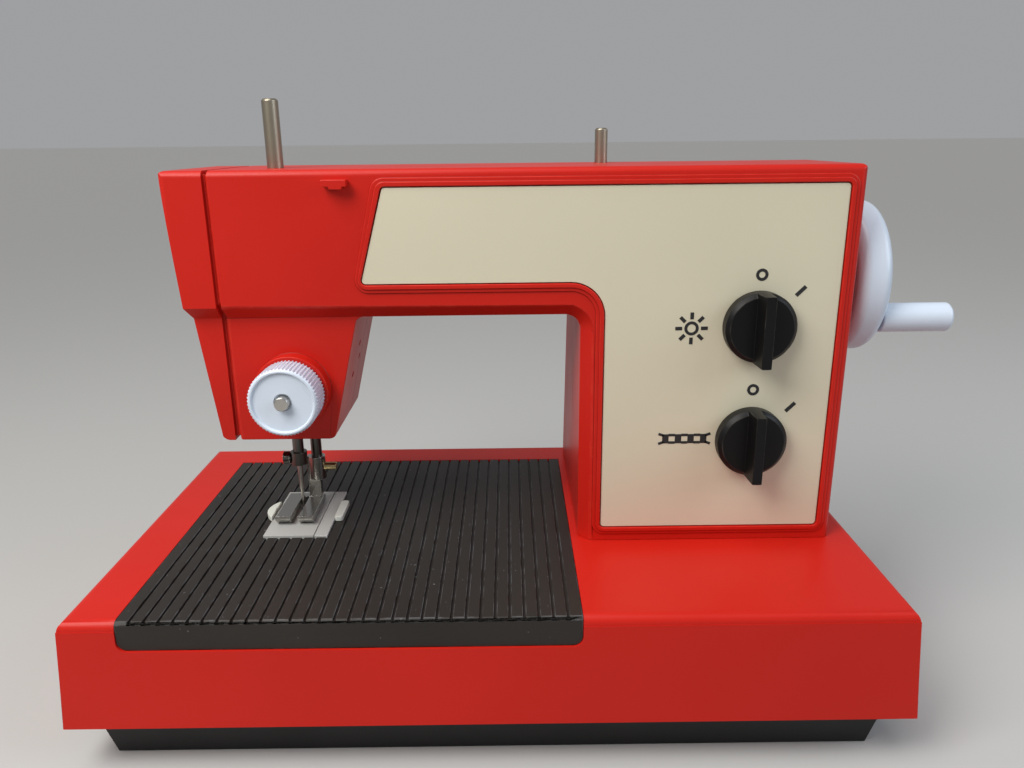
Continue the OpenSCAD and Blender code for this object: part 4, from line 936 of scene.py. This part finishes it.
@dataclass
class Head(SubAssembly):
    """Needle, presser foot and lamp under the head.

    Attributes:
        bar_round: Rounding of the two bars.
        clamp_round: Rounding of the clamp, the screws and the lifter.
        foot_round: Rounding of the presser foot.
        foot_lift: How far the foot lifts; not used.
        wire_round: Rounding of the spring's wire ends.
        wire_sharp: Bend, in degrees, from which the spring's edges are rounded.
        needle_round: Rounding of the needle and the lamp.
    """

    bar_round: float = 0.2 * MM
    clamp_round: float = 0.25 * MM
    foot_round: float = 0.6 * MM
    foot_lift: float = 6.0 * MM
    wire_round: float = 0.02 * MM
    wire_sharp: float = 85.0
    needle_round: float = 0.05 * MM

    def build(self) -> None:
        """Dress the head's metal and its lamp."""
        for bar in ("needle_bar", "presser_bar"):
            self.dress(bar, DARK_STEEL, self.bar_round)
        for screw in ("needle_clamp", "clamp_screw"):
            self.dress(screw, DARK_STEEL, self.clamp_round)
        self.dress("needle", STEEL, self.needle_round)
        self.dress("presser_foot", FOOT_STEEL, self.foot_round, self.fine)
        self.dress("foot_screw", BRASS, self.clamp_round)
        self.put(Dress("presser_lifter", STEEL, self.clamp_round, spare=True))
        self.dress("lamp_bulb", LAMP, self.needle_round)
        self.spring()

    def spring(self) -> None:
        """Dress the presser spring as a copy with a mesh of its own."""
        piece = self.put(Dress("presser_spring", STEEL, self.wire_round, sharp=self.wire_sharp))
        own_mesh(piece)


@dataclass
class ThreadTension(SubAssembly):
    """The tension knob on its stud, with discs and spring.

    Attributes:
        knob_round: Rounding of the knurled knob.
        stud_round: Rounding of the stud's ends.
        stud_facets: Facets round the stud.
        rim_bend: Bend, in degrees, from which an edge of the stud is a rim.
        disc_round: Rounding of the discs.
    """

    knob_round: float = 0.12 * MM
    stud_round: float = 0.45 * MM
    stud_facets: int = 48
    rim_bend: float = 60.0
    disc_round: float = 0.15 * MM

    def build(self) -> None:
        """Dress the thread tension."""
        self.dress("tension_knob", COOL_LIT_WHITE, self.knob_round)
        self.stud()
        self.dress("tension_discs", STEEL, self.disc_round)
        self.dress("tension_spring", STEEL)

    def stud(self) -> None:
        """Turn the stud with rounded ends, in place of its solid."""
        low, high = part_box("tension_stud")
        middle = (low + high) / 2
        radius = (high.x - low.x) / 2
        place = Matrix.Translation(middle) @ Matrix.Rotation(QUARTER_TURN, 4, "X")
        work = bmesh.new()
        bmesh.ops.create_cone(
            work, cap_ends=True, segments=self.stud_facets, radius1=radius, radius2=radius,
            depth=high.y - low.y, matrix=place,
        )
        limit = math.radians(self.rim_bend)
        rims = [edge for edge in work.edges if edge.calc_face_angle(0.0) > limit]
        mask = work.faces.layers.float.new(EDGE_MASK)
        for face in bevel(work, rims, self.stud_round, self.fine):
            face[mask] = Bend.EDGE.value
        for face in work.faces:
            face.smooth = len(face.verts) == 4
        piece = to_object(work, "tension_stud_look")
        piece.data.materials.append(STEEL.material())
        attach(piece, frame["nodes"]["tension_stud"]["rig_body"])
        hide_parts("tension_stud")
        self.report(piece, STEEL)


@dataclass
class HandWheel(SubAssembly):
    """The hand wheel with its turning grip."""

    wheel_round: float = 0.4 * MM

    def build(self) -> None:
        """Dress the wheel."""
        self.dress("hand_wheel", COOL_LIT_WHITE, self.wheel_round, self.fine)
        self.dress("crank_grip", COOL_LIT_WHITE, self.wheel_round, self.fine)
        self.dress("grip_pin", STEEL)
        self.dress("wheel_bearing", COOL_LIT_WHITE)


@dataclass
class Drive(SubAssembly):
    """What the closed housing hides: cells, motor, shafts, wheels and the needle's crank.

    Attributes:
        steel: Solids of bright steel.
        white: Solids of white plastic.
        black: Solids of black plastic and rubber.
    """

    steel: tuple[str, ...] = (
        "battery_contacts", "looper", "lower_shaft", "main_shaft", "crank_disc", "motor",
        "needle_yoke", "presser_collar",
    )
    white: tuple[str, ...] = ("lower_pulley", "head_bearing", "drive_gear", "upper_pulley")
    black: tuple[str, ...] = (
        "hook_frame", "lower_bearing", "drive_belt", "motor_cradle", "lamp_switch", "sew_switch",
        "lamp_holder",
    )

    def build(self) -> None:
        """Dress the hidden solids as they are."""
        for nodes, finish in (
            (self.steel, STEEL),
            (self.white, COOL_LIT_WHITE),
            (self.black, TRAY_BLACK),
            (("head_frame",), DARK_STEEL),
            (("motor_pinion",), BRASS),
            (("batteries",), CELL),
        ):
            for node in nodes:
                self.dress(node, finish)


@dataclass
class PanelMarks:
    """Printed marks of the faceplate: rings, dashes, a lamp sign and a row of stitches.

    Attributes:
        thickness: How far the ink stands on the faceplate.
        line: Width of a printed line.
        ring_r: Radius of the ring over each knob.
        ring_aside: How far the rings stand right of their knobs.
        ring_rises: How far they stand above them, upper knob first.
        dash_offset: Place of the dash beside each knob.
        dash_l: Its length.
        dash_w: Its width.
        dash_turn: Its turn, in degrees.
        sun_shift: Place of the lamp sign beside its knob.
        sun_r: Radius of its ring.
        ray_from: Where its rays start.
        ray_to: Where they end.
        ray_w: Their width.
        rays: Their number.
        chain_shift: Place of the stitch sign beside its knob.
        links: Number of its closed links.
        link_step: Distance from link to link.
        knot_l: Length of the dark knots between them.
        knot_h: Height of these knots.
        rail_w: Width of a link's sides.
        rail_rise: Their distance from the sign's middle line.
        prong_at: Place of the open ends.
        prong_l: Their length.
        prong_turn: Their turn, in degrees.
        steps: Facets round a ring.
        work: The bmesh that all marks go into.
    """

    thickness: float = 0.08 * MM
    line: float = 0.95 * MM
    ring_r: float = 1.95 * MM
    ring_aside: float = 0.2 * MM
    ring_rises: Span = (16.3 * MM, 17.1 * MM)
    dash_offset: Span = (12.9 * MM, 11.0 * MM)
    dash_l: float = 4.1 * MM
    dash_w: float = 1.235 * MM
    dash_turn: float = 45.0
    sun_shift: Span = (-21.1 * MM, -0.7 * MM)
    sun_r: float = 2.3 * MM
    ray_from: float = 3.0 * MM
    ray_to: float = 5.2 * MM
    ray_w: float = 1.14 * MM
    rays: int = 8
    chain_shift: Span = (-21.5 * MM, 0.3 * MM)
    links: int = 3
    link_step: float = 4.2 * MM
    knot_l: float = 2.1 * MM
    knot_h: float = 3.2 * MM
    rail_w: float = 0.88 * MM
    rail_rise: float = 1.32 * MM
    prong_at: Span = (7.75 * MM, 1.45 * MM)
    prong_l: float = 1.9 * MM
    prong_turn: float = 20.0
    steps: int = 32
    work: bmesh.types.BMesh = field(default_factory=bmesh.new)

    def ring(self, at: Vector, radius: float) -> None:
        """Add a flat ring round a point of the faceplate.

        Args:
            at: The ring's middle, in X and Z.
            radius: Outer radius.
        """
        loops = []
        for r in (radius, radius - self.line):
            circle = bmesh.ops.create_circle(
                self.work, cap_ends=False, segments=self.steps, radius=r,
                matrix=Matrix.Translation(at.to_3d()),
            )
            loops += dict.fromkeys(edge for vert in circle["verts"] for edge in vert.link_edges)
        bmesh.ops.bridge_loops(self.work, edges=loops)

    def bar(self, at: Vector, length: float, width: float, angle: float = 0.0) -> None:
        """Add a flat bar.

        Args:
            at: The bar's middle, in X and Z.
            length: Its length.
            width: Its width.
            angle: Its turn from the X axis, in radians.
        """
        place = Matrix.Translation(at.to_3d()) @ Matrix.Rotation(angle, 4, "Z")
        bmesh.ops.create_grid(
            self.work, x_segments=1, y_segments=1, size=0.5,
            matrix=place @ Matrix.Diagonal((length, width, 1.0, 1.0)),
        )

    def sun(self, at: Vector) -> None:
        """Add the lamp sign: a ring with rays.

        Args:
            at: The sign's middle, in X and Z.
        """
        self.ring(at, self.sun_r)
        middle = (self.ray_from + self.ray_to) / 2
        for i in range(self.rays):
            angle = math.tau * i / self.rays
            way = Vector((math.cos(angle), math.sin(angle)))
            self.bar(at + way * middle, self.ray_to - self.ray_from, self.ray_w, angle)

    def chain(self, at: Vector) -> None:
        """Add the stitch sign: squared links in a row, dark where they overlap, with open ends.

        Args:
            at: The sign's middle, in X and Z.
        """
        for i in range(self.links + 1):
            shift = (i - self.links / 2) * self.link_step
            self.bar(at + Vector((shift, 0.0)), self.knot_l, self.knot_h)
        rail_l = self.link_step - self.knot_l
        for i in range(self.links):
            shift = (i - (self.links - 1) / 2) * self.link_step
            for side in (-1, 1):
                self.bar(at + Vector((shift, side * self.rail_rise)), rail_l, self.rail_w)
        for side in (-1, 1):
            for turn in (-1, 1):
                end = at + Vector((side * self.prong_at[0], turn * self.prong_at[1]))
                angle = side * turn * math.radians(self.prong_turn)
                self.bar(end, self.prong_l, self.rail_w, angle)

    def draw(self) -> None:
        """Draw all marks flat, round the places of the two knobs."""
        signs = (
            ("lamp_knob", self.sun, self.sun_shift),
            ("sew_knob", self.chain, self.chain_shift),
        )
        for (knob, sign, shift), rise in zip(signs, self.ring_rises):
            low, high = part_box(knob)
            middle = Vector(((low.x + high.x) / 2, (low.z + high.z) / 2))
            self.ring(middle + Vector((self.ring_aside, rise)), self.ring_r)
            dash_at = middle + Vector(self.dash_offset)
            self.bar(dash_at, self.dash_l, self.dash_w, math.radians(self.dash_turn))
            sign(middle + Vector(shift))

    def build(self) -> None:
        """Stand the marks on the faceplate's front and fix them to the machine."""
        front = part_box("faceplate")[0].y
        self.draw()
        raised = bmesh.ops.extrude_face_region(self.work, geom=self.work.faces[:])
        tops = [vert for vert in raised["geom"] if isinstance(vert, bmesh.types.BMVert)]
        bmesh.ops.translate(self.work, verts=tops, vec=(0.0, 0.0, self.thickness))
        bmesh.ops.recalc_face_normals(self.work, faces=self.work.faces)
        stand = Matrix.Translation((0.0, front, 0.0)) @ Matrix.Rotation(QUARTER_TURN, 4, "X")
        bmesh.ops.transform(self.work, matrix=stand, verts=self.work.verts)
        piece = to_object(self.work, "panel_marks")
        piece.data.materials.append(INK.material())
        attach(piece, "machine")
        log.info("%s: %s in %s", type(self).__name__, piece.name, INK.name)


@dataclass(frozen=True)
class SoftLamp:
    """A square soft light that faces the machine.

    Attributes:
        name: The light's name.
        at: Its place.
        size: Length of its side.
        power: Its power in watts.
        tint: Its colour.
        aim: The point that it faces.
    """

    name: str
    at: Place
    size: float
    power: float
    tint: Color
    aim: Place = (0.0, 0.0, 80.0 * MM)

    def hang(self) -> None:
        """Add the light to the scene."""
        data = bpy.data.lights.new(self.name, "AREA")
        data.size = self.size
        data.energy = self.power
        data.color = self.tint
        light = bpy.data.objects.new(self.name, data)
        light.location = self.at
        light.rotation_mode = "QUATERNION"
        ahead = Vector(self.aim) - Vector(self.at)
        light.rotation_quaternion = ahead.to_track_quat("-Z", "Y")
        bpy.context.scene.collection.objects.link(light)


@dataclass(frozen=True)
class DayLight:
    """A far light with soft shadows.

    Attributes:
        name: The light's name.
        at: A place that it shines from.
        power: Its strength in watts per square metre.
        spread: Its apparent width in degrees.
        tint: Its colour.
    """

    name: str
    at: Place
    power: float
    spread: float
    tint: Color

    def hang(self) -> None:
        """Add the light to the scene."""
        data = bpy.data.lights.new(self.name, "SUN")
        data.energy = self.power
        data.angle = math.radians(self.spread)
        data.color = self.tint
        light = bpy.data.objects.new(self.name, data)
        light.rotation_mode = "QUATERNION"
        light.rotation_quaternion = (-Vector(self.at)).to_track_quat("-Z", "Y")
        bpy.context.scene.collection.objects.link(light)


DAY = DayLight(
    "day", at=(-0.30, -0.24, 1.0), power=1.2, spread=40.0, tint=(1.0, 0.98, 0.95),
)
KEY = SoftLamp(
    "key", at=(-0.30, -0.32, 0.52), size=0.30, power=2.7, tint=(1.0, 0.97, 0.92),
)
FILL = SoftLamp(
    "fill", at=(0.75, -0.30, 0.50), size=0.45, power=2.4, tint=(0.78, 0.89, 1.0),
)


@dataclass
class Studio:
    """Camera, floor and soft light.

    Attributes:
        eye: Place of the camera.
        pitch: Its tilt below the horizon, in degrees.
        yaw: Its turn to the left, in degrees.
        roll: Its roll, in degrees.
        lens: Its focal length, in millimetres.
        sensor: Width of its sensor, in millimetres.
        clip_from: The nearest distance that it shows.
        room_tint: Colour of the room's even light.
        room_light: Strength of that light on the machine.
        room_seen: Strength of the room where it is seen or mirrored.
        floor_size: Half the floor's side.
        floor_drop: How far the floor lies under the machine.
        floor_color: Colour of the floor where it is seen or mirrored.
        floor_bounce: Colour of the floor for the light that it gives back.
        floor_roughness: Roughness of the floor.
    """

    eye: Place = (6.82 * MM, -273.6 * MM, 184.7 * MM)
    pitch: float = 16.835
    yaw: float = -0.1755
    roll: float = -0.62
    lens: float = 28.28
    sensor: float = 36.0
    clip_from: float = 5.0 * MM
    room_tint: Color = (0.96, 0.97, 1.0)
    room_light: float = 0.22
    room_seen: float = 0.36
    floor_size: float = 60.0
    floor_drop: float = 0.3 * MM
    floor_color: Color = (0.52, 0.52, 0.51)
    floor_bounce: Color = (0.34, 0.33, 0.32)
    floor_roughness: float = 0.7

    def camera(self) -> None:
        """Stand the camera at the viewing place."""
        pitch, yaw, roll = (math.radians(a) for a in (self.pitch, self.yaw, self.roll))
        right = Vector((math.cos(yaw), math.sin(yaw), 0.0))
        ahead = Vector((
            -math.sin(yaw) * math.cos(pitch), math.cos(yaw) * math.cos(pitch), -math.sin(pitch),
        ))
        up = right.cross(ahead)
        across = math.cos(roll) * right + math.sin(roll) * up
        above = -math.sin(roll) * right + math.cos(roll) * up
        data = bpy.data.cameras.new("view")
        data.sensor_width = self.sensor
        data.lens = self.lens
        data.clip_start = self.clip_from
        eye = bpy.data.objects.new("view", data)
        turn = Matrix((across, above, -ahead)).transposed().to_4x4()
        eye.matrix_world = Matrix.Translation(self.eye) @ turn
        bpy.context.scene.collection.objects.link(eye)
        bpy.context.scene.camera = eye

    def seen(self, tree: bpy.types.NodeTree) -> bpy.types.NodeSocket:
        """Tell rays that show the room from rays that only light the machine.

        Args:
            tree: The nodes of the room or of the floor.

        Returns:
            A socket that is one for camera, mirror and see-through rays.
        """
        path = tree.nodes.new("ShaderNodeLightPath")
        share = path.outputs["Is Camera Ray"]
        for kind in ("Is Glossy Ray", "Is Transmission Ray"):
            either = tree.nodes.new("ShaderNodeMath")
            either.operation = "MAXIMUM"
            tree.links.new(share, either.inputs[0])
            tree.links.new(path.outputs[kind], either.inputs[1])
            share = either.outputs[0]
        return share

    def room(self) -> None:
        """Fill the room with even light."""
        world = bpy.data.worlds.new("room")
        world.use_nodes = True
        tree = world.node_tree
        back = tree.nodes["Background"]
        back.inputs["Color"].default_value = (*self.room_tint, 1.0)
        level = tree.nodes.new("ShaderNodeMapRange")
        level.inputs["To Min"].default_value = self.room_light
        level.inputs["To Max"].default_value = self.room_seen
        tree.links.new(self.seen(tree), level.inputs["Value"])
        tree.links.new(level.outputs["Result"], back.inputs["Strength"])
        bpy.context.scene.world = world

    def floor_finish(self) -> bpy.types.Material:
        """Build the floor's material.

        Returns:
            A plain pale material that gives back less light than it shows.
        """
        plain = bpy.data.materials.new("floor")
        plain.use_nodes = True
        tree = plain.node_tree
        shader = tree.nodes["Principled BSDF"]
        tone = tree.nodes.new("ShaderNodeMix")
        tone.data_type = "RGBA"
        tone.inputs[MIX_FIRST].default_value = (*self.floor_bounce, 1.0)
        tone.inputs[MIX_SECOND].default_value = (*self.floor_color, 1.0)
        tree.links.new(self.seen(tree), tone.inputs[MIX_SHARE])
        tree.links.new(tone.outputs[MIX_RESULT], shader.inputs["Base Color"])
        shader.inputs["Roughness"].default_value = self.floor_roughness
        return plain

    def floor(self) -> None:
        """Lay a plain pale floor just under the machine."""
        work = bmesh.new()
        bmesh.ops.create_grid(work, x_segments=1, y_segments=1, size=self.floor_size)
        bmesh.ops.translate(work, verts=work.verts, vec=(0.0, 0.0, -self.floor_drop))
        floor = to_object(work, "floor")
        floor.data.materials.append(self.floor_finish())

    def build(self) -> None:
        """Set the camera, the lights, the floor and the plain view transform."""
        self.camera()
        for light in (DAY, KEY, FILL):
            light.hang()
        self.room()
        self.floor()
        bpy.context.scene.view_settings.view_transform = "Standard"


def main() -> None:
    """Build the scene in order: camera first, then every group, then the marks."""
    logging.basicConfig(level=logging.INFO, format="%(message)s")
    Studio().build()
    for group in (Base, WorkTable, Arm, Dials, Head, ThreadTension, HandWheel, Drive):
        group().build()
    PanelMarks().build()


if __name__ == "__main__":
    main()
